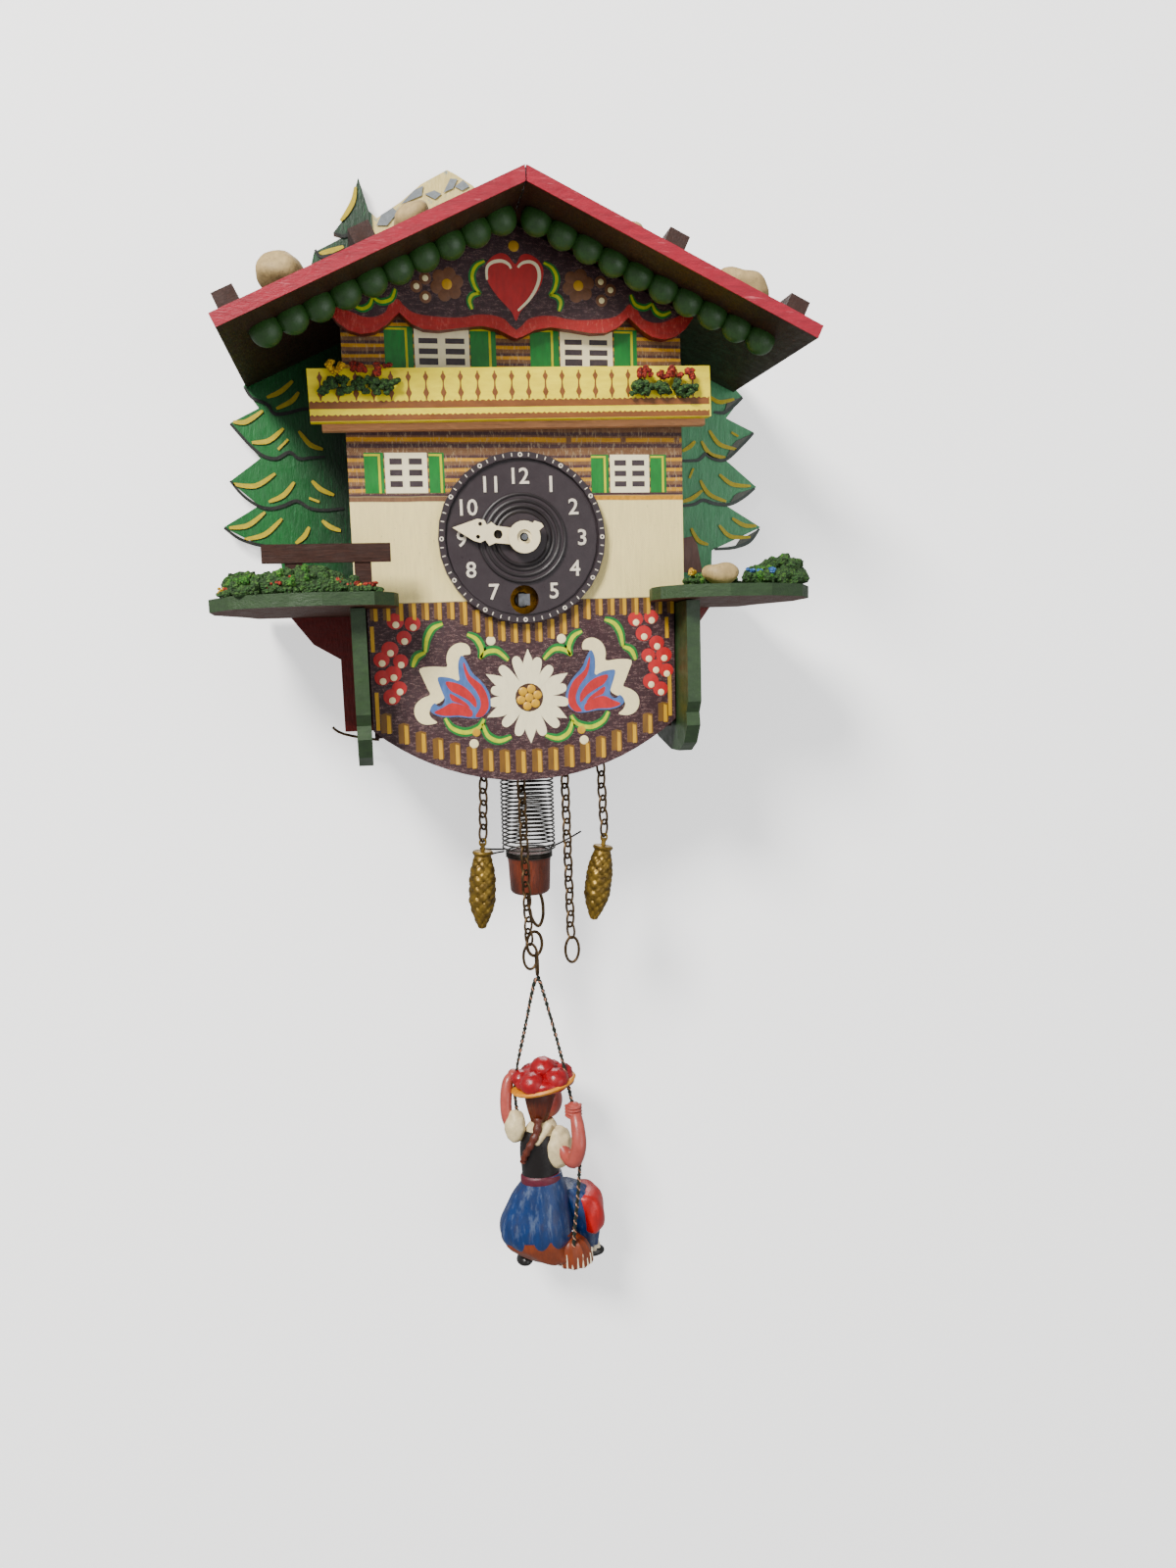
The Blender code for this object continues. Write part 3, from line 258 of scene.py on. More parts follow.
def plum_ground(s):
    """Dark purplish-brown print whose pale weave shows through."""
    field = s.varied(rgb("40282c"), 0.5, (1, 1, 0.25), 0.3, 9.0)
    thread = s.times(s.step(s.noise(0.42, (0.3, 1, 1), 3.0, 0.75, 6.0), 0.56, 0.06),
        s.step(s.noise(0.3, detail=2.0, shift=2.0), 0.5, 0.1))
    return s.mix(s.times(thread, 0.55), field, rgb("a48a86"))


def worn_rows(s, z, lines, ground):
    """Horizontal painted rows: (low, high, colour) over a ground."""
    colour = ground
    for low, high, paint in lines:
        colour = s.mix(s.within(z, low, high, 0.12), colour, paint)
    return colour


def facade_material():
    s = Shader("facade")
    weave = woven(s)
    side = s.math("ABSOLUTE", s.x)
    z = s.wavy(s.z, 5.0, 0.5, (0.5, 1, 1))
    yellow = s.varied(rgb("c99e3f"), 0.9, (0.2, 1, 1), 0.25)
    plum = s.varied(rgb("4b3336"), 0.8, (0.2, 1, 1), 0.25)
    brown = s.varied(rgb("7d6048"), 0.7, (1, 1, 0.3), 0.25)
    thread = s.step(s.noise(0.4, (1, 1, 0.25), 3.0, 0.75, 6.0), 0.6, 0.06)
    plaster = s.varied(rgb("f6e6b4"), 0.7, (1, 1, 0.12), 0.09)
    speck = s.step(s.noise(0.45, (1, 1, 0.4), 3.0, 0.7, 2.0), 0.7, 0.03)
    plaster = s.mix(s.times(speck, 0.5), plaster, rgb("8c7a52"))
    colour = s.mix(s.step(z, -14.8, 0.15), plum_ground(s), plaster)
    rows = s.math("WRAP", s.math("ADD", z, 0.7), 2.35, 0.0)
    logs = s.mix(s.within(rows, 0.05, 0.85, 0.12), brown, yellow)
    logs = s.mix(s.within(rows, 0.85, 1.5, 0.12), logs, plum)
    colour = s.mix(s.step(s.z, 10.6), colour, logs)
    left = s.step(s.minus(s.x), -17.0, 2.0)
    colour = worn_rows(
        s, z,
        ((8.9, 10.1, s.mix(left, s.varied(rgb("c99a2c"), 0.8), brown)), (10.1, 10.75, plum),
            (20.4, 21.3, brown),
         (21.3, 22.3, plum), (22.3, 24.2, brown), (24.2, 25.0, plum), (25.0, 26.4, brown), (26.4, 28.2,
             yellow)),
        colour,
    )
    gaps = s.either(s.step(s.minus(s.x), -11.0, 0.3), s.math("SUBTRACT", 1.0,
        stripes(s, s.x, 13.5, 1.3, 2.0)))
    colour = s.mix(s.times(s.within(z, 22.7, 23.7, 0.12), gaps), colour, yellow)
    colour = s.mix(s.times(s.times(thread, 0.4), s.step(s.z, 10.6)), colour, rgb("c9b79b"))
    front = s.step(s.minus(s.y), -PANEL_FRONT - 0.4, 0.1)
    colour = s.mix(front, s.varied(rgb("4f3024"), 0.7, (1, 1, 0.2), 0.25), colour)
    return s.finish(colour, 0.42, 0.1, weave, 0.16, Specular_IOR_Level=0.4)


def gable_material():
    s = Shader("gable_paint")
    curve = s.tree.nodes.new("ShaderNodeFloatCurve")
    line = curve.mapping.curves[0]
    for i, (px, pz) in enumerate(GABLE_BORDER):
        at = (px / 50, (pz - 40) / 20)
        if i < 2:
            line.points[i].location = at
        else:
            line.points.new(*at)
    curve.mapping.update()
    s.tree.links.new(s.math("DIVIDE", s.math("ABSOLUTE", s.x), 50.0), curve.inputs["Value"])
    edge = s.math("MULTIPLY_ADD", curve.outputs[0], 20.0, 40.0)
    above = s.step(s.math("SUBTRACT", s.z, edge), 0.0, 0.15)
    red = s.varied(rgb("a83430"), 0.7, (0.25, 1, 1), 0.2)
    thread = s.step(s.noise(0.4, (1, 1, 0.3), 3.0, 0.75, 6.0), 0.6, 0.06)
    red = s.mix(s.times(thread, 0.35), red, rgb("d98d7e"))
    colour = s.mix(above, red, plum_ground(s))
    front = s.step(s.minus(s.y), -GABLE_FRONT - 0.3, 0.1)
    colour = s.mix(front, s.varied(rgb("6e1d1e"), 0.7, (0.2, 1, 1), 0.25), colour)
    return s.finish(colour, 0.42, 0.1, woven(s), 0.14)


def scenery_material():
    """Grounds of the trees, the mountain and the dark skirt on the board's face, with bare edges and rear; the
    left trees carry painted shade next to the house.
    """
    s = Shader("scenery")
    # Painted shade: the left trees are painted near black next to the house, fading to their own green further
    # out.
    left_clear_of_shade = s.node("ShaderNodeMapRange", {0: s.wavy(s.x, 8.0, 4.0), 1: -42.0, 2: -60.0, 3: 0.0, 4: 1.0})
    left = s.mix(left_clear_of_shade, rgb("12351d"), s.varied(rgb("1f6b3d"), 1.0, (1, 1, 0.15), 0.2))
    right = s.varied(rgb("74ad86"), 0.9, (1, 1, 0.15), 0.2)
    thread = s.step(s.noise(0.5, (1, 1, 0.12), 3.0, 0.75, 6.0), 0.62, 0.05)
    left = s.mix(s.times(thread, 0.3), left, rgb("4f9a68"))
    right = s.mix(s.times(thread, 0.4), right, rgb("a5cdb0"))
    trees = s.mix(s.step(s.x, 0.0), left, right)
    rock = s.varied(rgb("dfcf9c"), 0.8, (0.4, 1, 0.4), 0.12)
    rock = s.mix(s.step(s.noise(2.6, (1, 1, 0.6), 4.0, 0.65, 4.0), 0.62, 0.05), rock, rgb("8b9a98"))
    peak = s.times(s.step(s.z, 62.0, 1.0), s.step(s.minus(s.math("ABSOLUTE", s.math("ADD", s.x, 0.5))),
        -30.5, 0.3))
    colour = s.mix(peak, trees, rock)
    skirt = s.step(s.minus(s.wavy(s.z, 8.0, 2.0)), 16.0, 0.4)
    colour = s.mix(skirt, colour, s.varied(rgb("7a231e"), 0.9, (0.3, 1, 1), 0.25))
    front = s.step(s.minus(s.y), 2.7, 0.1)
    colour = s.mix(front, s.varied(rgb("7a5b3c"), 0.8, (0.12, 1, 1), 0.2), colour)
    return s.finish(colour, 0.42, 0.1, s.noise(0.6, (1, 1, 0.2), 4.0, 0.7), 0.2)


def roof_material():
    s = Shader("roof_paint")
    stretch = (0.15, 0.5, 1)
    red = s.varied(rgb("98293b"), 0.7, stretch, 0.25)
    pale = s.step(s.noise(0.8, stretch, 4.0, 0.7, 5.0), 0.66, 0.05)
    red = s.mix(s.times(pale, 0.5), red, rgb("cf7f86"))
    dark = s.varied(rgb("3c211a"), 0.9, (1, 0.12, 1), 0.3)
    worn = s.step(s.noise(2.2, (1, 0.3, 1), 5.0, 0.7, 1.0), 0.68, 0.04)
    dark = s.mix(s.times(worn, 0.6), dark, rgb("6e4431"))
    front = s.step(s.minus(s.y), 64.7, 0.08)
    colour = s.mix(front, dark, red)
    return s.finish(colour, 0.48, 0.1, s.noise(0.6, (0.3, 0.25, 1), 4.0, 0.7), 0.16)


def shelf_material():
    s = Shader("shelf_board")
    up = s.node("ShaderNodeSeparateXYZ", {0: s.node("ShaderNodeNewGeometry", {}, out=1)}, out=2)
    top = s.step(up, 0.5, 0.1)
    under = s.step(s.minus(up), 0.5, 0.1)
    green = s.varied(rgb("384c31"), 0.8, (0.3, 0.3, 1), 0.25)
    brown = s.varied(rgb("5a3626"), 0.9, (0.2, 1, 1), 0.3)
    ground = s.varied(rgb("4c6a2c"), 0.6, (1, 1, 1), 0.35)
    colour = s.mix(top, s.mix(under, green, brown), ground)
    grain = s.math("ADD", s.noise(0.5, (0.3, 1, 1), 4.0, 0.7), s.times(top, s.noise(0.4)))
    return s.finish(colour, 0.6, 0.12, grain, 0.25)


def dial_material():
    s = Shader("dial_plastic")
    colour = s.varied(rgb("3d3538"), 1.6, (1, 1, 1), 0.12)
    dust = s.step(s.noise(0.5, (1, 1, 1), 5.0, 0.75, 3.0), 0.7, 0.05)
    colour = s.mix(s.times(dust, 0.35), colour, rgb("8a6f66"))
    return s.finish(colour, 0.34, 0.08, s.noise(0.35, detail=4.0), 0.03)


# ---------------------------------------------------------------- shapes


def smooth_path(points, per=4, closed=False):
    """Catmull-Rom curve through points."""
    pts = [Vector(p) for p in points]
    count = len(pts)
    out = []
    for i in range(count if closed else count - 1):
        if closed:
            p = [pts[(i + k) % count] for k in (-1, 0, 1, 2)]
        else:
            p = [pts[max(0, min(count - 1, i + k))] for k in (-1, 0, 1, 2)]
        for j in range(per):
            t = j / per
            out.append(
                0.5 * (2 * p[1] + (p[2] - p[0]) * t + (2 * p[0] - 5 * p[1] + 4 * p[2] - p[3]) * t * t
                + (3 * p[1] - p[0] - 3 * p[2] + p[3]) * t**3)
            )
    if not closed:
        out.append(pts[-1])
    return out


def band(a, b, sides):
    """Faces between two rings of points that start at a and b."""
    return [[a + k, a + (k + 1) % sides, b + (k + 1) % sides, b + k] for k in range(sides)]


class Form:
    """Closed shapes gathered, in millimetres, into one piece."""

    def __init__(self):
        self.verts = []
        self.faces = []

    def add(self, verts, faces):
        base = len(self.verts)
        self.verts += [Vector(v) for v in verts]
        self.faces += [[base + i for i in face] for face in faces]
        return self

    def plate(self, outline, y, thick=PAINT, sunk=0.03):
        """A flat shape facing -Y whose outline is (x, z) points."""
        pts = [tuple(p) for p in outline]
        area = sum(pts[i - 1][0] * pts[i][1] - pts[i][0] * pts[i - 1][1] for i in range(len(pts)))
        if area < 0:
            pts.reverse()
        n = len(pts)
        verts = [(x, y - thick, z) for x, z in pts] + [(x, y + sunk, z) for x, z in pts]
        faces = [list(range(n)), list(range(2 * n - 1, n - 1, -1))]
        faces += [[(i + 1) % n, i, n + i, n + (i + 1) % n] for i in range(n)]
        return self.add(verts, faces)

    def dot(self, x, z, r, y, height=0.25, sides=14, squash=1.0):
        """A domed dab of paint."""
        rows = [(r, -0.03), (r, height * 0.3), (r * 0.8, height * 0.75), (r * 0.4, height)]
        verts = []
        for radius, lift in rows:
            verts += [(x + radius * math.cos(math.tau * i / sides), y - lift,
                z + squash * radius * math.sin(math.tau * i / sides)) for i in range(sides)]
        verts += [(x, y - height, z), (x, y + 0.03, z)]
        faces = []
        for k in range(len(rows) - 1):
            faces += band(k * sides, (k + 1) * sides, sides)
        top, low = len(rows) * sides, len(rows) * sides + 1
        for i in range(sides):
            j = (i + 1) % sides
            faces.append([(len(rows) - 1) * sides + i, (len(rows) - 1) * sides + j, top])
            faces.append([j, i, low])
        return self.add(verts, faces)

    def stroke(self, points, width, y, taper=0.35, thick=PAINT):
        """A brush stroke along (x, z) points, narrower at its ends."""
        line = smooth_path([(p[0], p[1], 0) for p in points],
            5) if len(points) > 2 else [Vector((p[0], p[1], 0)) for p in points]
        left, right = [], []
        for i, p in enumerate(line):
            ahead = (line[min(i + 1, len(line) - 1)] - line[max(i - 1, 0)]).normalized()
            t = i / (len(line) - 1)
            half = width / 2 * (taper + (1 - taper) * math.sin(math.pi * (0.12 + 0.76 * t)))
            across = Vector((-ahead.y, ahead.x, 0)) * half
            left.append((p.x + across.x, p.y + across.y))
            right.append((p.x - across.x, p.y - across.y))
        return self.plate(left + right[::-1], y, thick)

    def ring_plate(self, centre, r0, r1, y, thick, sides):
        """A flat ring facing -Y."""
        verts, faces = [], []
        for i in range(sides):
            a = math.tau * i / sides
            for r, yy in ((r0, y - thick), (r1, y - thick), (r1, y + 0.03), (r0, y + 0.03)):
                verts.append((centre[0] + r * math.cos(a), yy, centre[1] + r * math.sin(a)))
            j = (i + 1) % sides
            faces += [[4 * i + k, 4 * i + (k + 1) % 4, 4 * j + (k + 1) % 4, 4 * j + k] for k in range(4)]
        return self.add(verts, faces)

    def tube(self, path, r, sides=8, closed=False):
        """A round bar along a path. r is a number or one per point."""
        pts = [Vector(p) for p in path]
        n = len(pts)
        radii = r if isinstance(r, (list, tuple)) else [r] * n
        start = (pts[1] - pts[0]).normalized()
        normal = start.orthogonal().normalized()
        verts = []
        before = start
        frames = []
        for i, p in enumerate(pts):
            if closed:
                ahead = (pts[(i + 1) % n] - pts[i - 1]).normalized()
            else:
                ahead = (pts[min(i + 1, n - 1)] - pts[max(i - 1, 0)]).normalized()
            normal = before.rotation_difference(ahead) @ normal
            normal = (normal - ahead * normal.dot(ahead)).normalized()
            before = ahead
            frames.append((p, ahead, normal))
        twist = 0.0
        if closed:
            back = frames[-1][1].rotation_difference(frames[0][1]) @ frames[-1][2]
            first = frames[0][2]
            twist = math.atan2(frames[0][1].dot(first.cross(back)), first.dot(back))
        for i, (p, ahead, normal) in enumerate(frames):
            side = ahead.cross(normal)
            for k in range(sides):
                a = math.tau * k / sides - twist * i / n
                verts.append(p + (normal * math.cos(a) + side * math.sin(a)) * radii[i])
        faces = []
        for i in range(n if closed else n - 1):
            faces += band(i * sides, (i + 1) % n * sides, sides)
        if not closed:
            faces += [list(range(sides))[::-1], [(n - 1) * sides + k for k in range(sides)]]
        return self.add(verts, faces)

    def lathe(self, profile, sides=32, place=None, ripple=None):
        """A turned shape about z; profile is (radius, height) with both ends on the axis."""
        place = place or Matrix.Identity(4)
        verts = [place @ Vector((0, 0, profile[0][1])), place @ Vector((0, 0, profile[-1][1]))]
        rows = profile[1:-1]
        for r, h in rows:
            for k in range(sides):
                a = math.tau * k / sides
                rr = r + (ripple(a, h, r) if ripple else 0.0)
                verts.append(place @ Vector((rr * math.cos(a), rr * math.sin(a), h)))
        up = profile[-1][1] > profile[0][1]
        faces = []
        for k in range(sides):
            j = (k + 1) % sides
            faces.append([0, 2 + j, 2 + k])
            for i in range(len(rows) - 1):
                a, b = 2 + i * sides, 2 + (i + 1) * sides
                faces.append([a + k, a + j, b + j, b + k])
            last = 2 + (len(rows) - 1) * sides
            faces.append([last + k, last + j, 1])
        return self.add(verts, faces if up else [face[::-1] for face in faces])

    def blob(self, centre, radii, sides=20, rows=12, rough=0.0, size=3.0, turn=None, seed=0.0):
        """An ellipsoid, lumpy by rough of its radius at a lump size."""
        spin = Matrix.Identity(3) if turn is None else turn
        radii = Vector(radii)
        verts = []
        for i in range(rows + 1):
            b = math.pi * i / rows
            ring = 1 if i in (0, rows) else sides
            for k in range(ring):
                a = math.tau * k / sides
                p = Vector((math.sin(b) * math.cos(a), math.sin(b) * math.sin(a), -math.cos(b)))
                q = Vector((p.x * radii.x, p.y * radii.y, p.z * radii.z))
                lump = 1 + rough * noise.noise(q / size + Vector((seed, 0, seed))) if rough else 1
                verts.append(Vector(centre) + spin @ (q * lump))
        faces = [[0, 1 + (k + 1) % sides, 1 + k] for k in range(sides)]
        for i in range(rows - 2):
            faces += band(1 + i * sides, 1 + (i + 1) * sides, sides)
        last, top = 1 + (rows - 2) * sides, 1 + (rows - 1) * sides
        faces += [[last + k, last + (k + 1) % sides, top] for k in range(sides)]
        return self.add(verts, faces)

    def loft(self, rows, sides=32, ripple=None):
        """A closed skin through level ellipses given as (x, y, z, radius x, radius y)."""
        if rows[0][2] > rows[-1][2]:
            rows = rows[::-1]
        fine = smooth_path([row[:3] for row in rows], 4)
        radii = smooth_path([(row[3], row[4], 0) for row in rows], 4)
        verts = []
        for p, r in zip(fine, radii):
            for k in range(sides):
                a = math.tau * k / sides
                grow = ripple(a, p.z) if ripple else 0.0
                verts.append((p.x + (r.x + grow) * math.cos(a), p.y + (r.y + grow) * math.sin(a), p.z))
        n = len(fine)
        verts += [fine[0] - Vector((0, 0, 0.02)), fine[-1] + Vector((0, 0, 0.02))]
        faces = []
        for k in range(sides):
            j = (k + 1) % sides
            faces += [[i * sides + k, i * sides + j, (i + 1) * sides + j,
                (i + 1) * sides + k] for i in range(n - 1)]
            faces += [[j, k, n * sides], [(n - 1) * sides + k, (n - 1) * sides + j, n * sides + 1]]
        return self.add(verts, faces)

    def piece(self, name, body, material, smooth=True, slot=None, replaces=()):
        mesh = bpy.data.meshes.new(name)
        mesh.from_pydata([v * MM for v in self.verts], [], self.faces)
        mesh.validate()
        outward = bmesh.new()
        outward.from_mesh(mesh)
        bmesh.ops.recalc_face_normals(outward, faces=outward.faces)
        outward.to_mesh(mesh)
        outward.free()
        mesh.polygons.foreach_set("use_smooth", [smooth] * len(mesh.polygons))
        if smooth:
            mesh.set_sharp_from_angle(angle=math.radians(42))
        mesh.materials.append(material)
        made = bpy.data.objects.new(name, mesh)
        bpy.context.scene.collection.objects.link(made)
        if body:
            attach(made, body)
        if replaces:
            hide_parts(*replaces)
        return made


def mirrored(points):
    return [(-x, z) for x, z in points]


# ---------------------------------------------------------------- CAD nodes that keep their shape

YELLOW = painted("yellow_paint", "f4e000", 0.16, (0.3, 1, 1))
GREEN = painted("green_paint", "36492f", 0.28, (0.4, 0.4, 1))
DARK = wood("dark_stain", "47291e", "y")
BATTEN = wood("batten_stain", "3d241b", "y", rough=0.7)
BARE = wood("bare_wood", "c99b7c", "x", spread=0.15)
BENCH = wood("bench_stain", "3f2820", "x", rough=0.9, depth=0.3)
BRASS = metal("brass", "a57f42", 0.34, "4d3a20")
STEEL = metal("steel", "8d8f92", 0.32, "55534f")
DARK_STEEL = metal("spring_steel", "55534f", 0.38, "37322d")
BRONZE = metal("dark_bronze", "62523f", 0.42, "3b3026")
GOLD = metal("antique_gold", "8f7a4a", 0.4, "54452a", metallic=0.7)
CREAM = plastic("cream_plastic", "f0e6c8")
SHELF = shelf_material()
FINISHES = {
    "back_board": scenery_material(), "front_panel": facade_material(), "gable_board": gable_material(),
    "side_wall_left": DARK, "side_wall_right": DARK, "case_floor": DARK,
    "roof_left": roof_material(), "balcony_front": YELLOW, "balcony_floor": BARE,
    "bracket_left": GREEN, "bracket_right": GREEN, "shelf_left": SHELF, "shelf_right": SHELF, "bench": BENCH,
    "back_clip_wire": BRONZE, "dial": dial_material(), "hour_hand": CREAM, "minute_hand": CREAM,
    "chain_rail": STEEL,
}
FINISHES["roof_right"] = FINISHES["roof_left"]
for name in ("roof_batten_1", "roof_batten_2", "roof_batten_3", "roof_batten_4"):
    FINISHES[name] = BATTEN
for name in ("movement_front_plate", "movement_back_plate", "great_wheel", "third_wheel", "escape_wheel",
    "minute_wheel", "hour_wheel"):
    FINISHES[name] = BRASS
for name in ("winding_arbor", "click", "mainspring", "centre_arbor", "escape_lever"):
    FINISHES[name] = STEEL
for name, material in FINISHES.items():
    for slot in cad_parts[name].material_slots:
        slot.material = material

# ---------------------------------------------------------------- painted front

WHITE = painted("white_paint", "f4eccf", 0.07, (1, 1, 0.3))
PANE = painted("window_pane", "453b3e", 0.3, rough=0.4)
SHUTTER = painted("shutter_paint", "2f7f43", 0.25, (1, 1, 0.3))
BROWN = painted("brown_paint", "4d3423", 0.22, (1, 1, 0.3))
BLOOM = painted("bloom_paint", "7d5b45", 0.22)
BALUSTER = painted("baluster_paint", "805634", 0.22, (0.3, 1, 1))
TAB_BROWN = painted("tab_brown", "7a5c30", 0.25, (1, 1, 0.25))
TAB_YELLOW = painted("tab_yellow", "cba500", 0.2, (1, 1, 0.25))
EDGE_YELLOW = painted("edge_yellow", "c6c23a", 0.2, (1, 1, 0.25))
ROSE = painted("rose_paint", "b3393a", 0.22, (1, 1, 0.4))
BLUE = painted("blue_paint", "5a74a3", 0.3, (1, 1, 0.4))
LEAF = painted("leaf_paint", "2f7f45", 0.3)
LEAF_LIGHT = painted("leaf_light", "c3cc3e", 0.25)
CREAM_PAINT = painted("cream_paint", "f3e8c2", 0.07)

y = PANEL_FRONT
frames, panes, shutters, edging = Form(), Form(), Form(), Form()


def bar(form, x0, z0, x1, z1, y, thick=PAINT):
    form.plate([(x0, z0), (x1, z0), (x1, z1), (x0, z1)], y, thick)


WINDOWS = (
    # left edge, right edge, sill, head, panes' columns (from, to) and rows (from, to)
    (-31.9, -22.0, 10.9, 20.2, ((-30.8, -27.9), (-26.3, -23.2)),
        ((12.3, 13.7), (14.9, 16.3), (17.5, 18.9))),
    (22.3, 32.1, 10.7, 19.7, ((23.4, 26.3), (27.8, 30.9)), ((12.1, 13.4), (14.6, 15.9), (17.1, 18.4))),
    (-23.7, -10.9, 38.0, 48.4, ((-22.7, -18.3), (-16.5, -12.0)),
        ((40.2, 41.7), (42.6, 43.9), (45.0, 46.2))),
    (10.8, 23.6, 38.0, 48.6, ((11.9, 16.1), (17.9, 22.3)), ((40.4, 41.9), (42.8, 44.1), (45.2, 46.4))),
)
SHUTTERS = (
    # left edge, right edge, sill, head, and the side its yellow line runs down
    (-36.7, -32.2, 10.9, 20.2, 1), (-21.6, -18.0, 10.9, 20.2, 1), (17.6, 21.9, 10.7, 19.7, 1), (32.4, 36.4,
        10.7, 19.7, 1),
    (-30.6, -24.0, 38.0, 48.7, 1), (-10.6, -4.6, 38.0, 48.7, 1), (3.6, 10.5, 38.0, 48.8, 1), (24.0, 29.6,
        38.0, 48.8, 1),
)
for x0, x1, z0, z1, columns, rows in WINDOWS:
    bar(frames, x0, z0, x1, z1, y)
    for a, b in columns:
        for c, d in rows:
            bar(panes, a, c, b, d, y - PAINT, 0.04)
for x0, x1, z0, z1, side in SHUTTERS:
    bar(shutters, x0, z0, x1, z1, y)
    line = x1 - 0.28 * (x1 - x0)
    bar(edging, line, z0, line + 0.55, z1 - 0.7, y - PAINT, 0.04)
    bar(edging, x0, z1 - 0.75, line + 0.55, z1 - 0.3, y - PAINT, 0.04)
frames.piece("window_frames", "case", WHITE, False)
panes.piece("window_panes", "case", PANE, False)
shutters.piece("window_shutters", "case", SHUTTER, False)
edging.piece("shutter_edging", "case", EDGE_YELLOW, False)

# Trees, small tree and mountain painted on the scenery board
y = BOARD_FRONT
glow, glow_right, ink, ink_right, tips, slate = Form(), Form(), Form(), Form(), Form(), Form()
for line in (
    ((-60.3, 39.0), (-56.9, 40.4), (-53.5, 43.2)), ((-58.1, 36.2), (-54.2, 38.1),
        (-52.2, 40.4)), ((-69.1, 32.9), (-65.9, 32.9), (-61.5, 35.7)),
    ((-64.8, 27.7), (-60.5, 28.2), (-56.6, 31.3)), ((-58.3, 26.0), (-55.6, 28.5)), ((-52.8, 30.6),
        (-50.1, 27.2), (-46.9, 26.0)),
    ((-70.2, 17.3), (-64.6, 16.8), (-59.4, 19.9)), ((-61.5, 12.7), (-57.6, 14.4),
        (-54.7, 17.7)), ((-50.2, 18.0), (-48.0, 15.8), (-44.7, 14.3)),
    ((-51.2, 13.6), (-48.6, 12.6)), ((-71.9, 6.2), (-67.1, 6.8), (-62.6, 10.1)), ((-68.3, 3.2),
        (-63.0, 4.4), (-58.4, 8.4)),
    ((-55.3, 2.0), (-53.0, 3.8), (-51.6, 6.2)), ((-48.2, 7.8), (-46.1, 6.1), (-43.5, 5.1)),
    ((-35.0, 91.1), (-35.7, 87.9), (-37.4, 84.9), (-39.2, 82.7)), ((-45.0, 74.6), (-42.3, 75.3),
        (-38.8, 76.5)),
):
    glow.stroke(line, 1.25, y, 0.2, 0.05)
for line in (
    ((-65.7, 41.5), (-64.0, 38.9), (-60.4, 37.3), (-58.7, 35.0), (-55.4, 35.1), (-50.6, 36.2),
        (-46.0, 35.0)),
    ((-69.8, 32.4), (-67.5, 29.6), (-64.9, 26.6), (-62.2, 24.4), (-58.9, 23.7), (-55.5, 25.3),
        (-53.2, 23.7), (-49.9, 23.9), (-46.5, 24.1)),
    ((-70.8, 18.1), (-68.0, 14.5), (-64.4, 11.8), (-61.2, 11.0), (-57.8, 11.7), (-54.4, 12.9),
        (-51.1, 11.0), (-47.3, 10.5), (-42.4, 10.9)),
    ((-73.1, 6.2), (-69.7, 3.5), (-66.5, 2.2), (-63.7, 1.5), (-58.0, 0.6), (-52.0, 1.4)),
    ((-40.7, 79.7), (-38.7, 79.0), (-36.4, 79.8), (-33.8, 78.1), (-31.5, 77.5)), ((-46.0, 75.5),
        (-44.6, 73.9), (-41.6, 74.4), (-37.8, 75.1)),
):
    ink.stroke(line, 0.9, y, 0.5, 0.05)
for line in (
    ((58.2, 40.2), (61.1, 38.7), (65.4, 39.5)), ((58.1, 31.1), (61.0, 27.4), (65.9, 26.0)), ((55.8, 28.2),
        (58.3, 24.7), (62.7, 23.8)),
    ((50.3, 25.5), (52.6, 26.8), (54.0, 28.2)), ((64.5, 30.6), (66.5, 29.5)), ((60.9, 19.2), (64.6, 16.5),
        (70.0, 16.0)),
    ((55.3, 17.6), (57.9, 13.8), (62.8, 11.8)), ((49.8, 11.8), (53.0, 12.8), (55.9, 14.9)), ((52.2, 18.2),
        (53.4, 20.9)),
    ((64.5, 7.2), (68.0, 5.2), (71.6, 5.0)), ((60.7, 5.3), (63.9, 2.2), (69.8, 1.9)), ((52.5, 4.6),
        (54.5, 1.2), (57.4, 0.0)),
):
    glow_right.stroke(line, 1.15, y, 0.25, 0.05)
for line in (
    ((67.8, 40.0), (65.4, 37.9), (62.5, 35.9), (59.6, 36.0)), ((70.9, 30.4), (67.5, 27.1), (62.7, 23.2),
        (58.9, 23.6), (56.9, 24.7), (54.8, 23.1), (50.2, 22.9)),
    ((71.2, 15.4), (67.9, 12.9), (63.7, 11.0), (59.3, 11.3), (56.1, 12.2), (53.5, 11.1),
        (49.8, 10.7)), ((72.4, 4.2), (69.6, 0.7), (65.0, -0.9), (59.2, -1.3)),
):
    ink_right.stroke(line, 1.0, y, 0.5, 0.05)
    (ax, az), (bx, bz), (cx, cz) = line[:3]
    tips.plate([(ax, az), (bx, bz), (cx, cz), ((bx + cx) / 2 - 0.6, (bz + cz) / 2 + 1.6),
        (bx - 1.6, bz + 1.2)], y, 0.03)
for facet in (
    ((-30.2, 81.9), (-28.9, 84.5), (-25.8, 86.4), (-24.7, 85.3), (-27.5, 82.0)), ((-23.8, 87.2),
        (-20.2, 90.8), (-17.8, 92.0), (-18.3, 89.6), (-21.1, 88.4)),
    ((-17.5, 90.0), (-15.0, 91.0), (-13.2, 90.2), (-14.9, 88.8)), ((-12.7, 90.5), (-10.8, 94.0),
        (-8.9, 94.0), (-10.1, 91.7)), ((-9.7, 92.1), (-7.4, 93.8), (-5.9, 92.3), (-7.8, 91.2)),
):
    slate.plate(facet, y, 0.05)
TREE_TRUNK = ((50.2, 1.9), (52.8, 2.4), (54.2, 0.1), (55.6, -7.6), (49.5, -7.5))
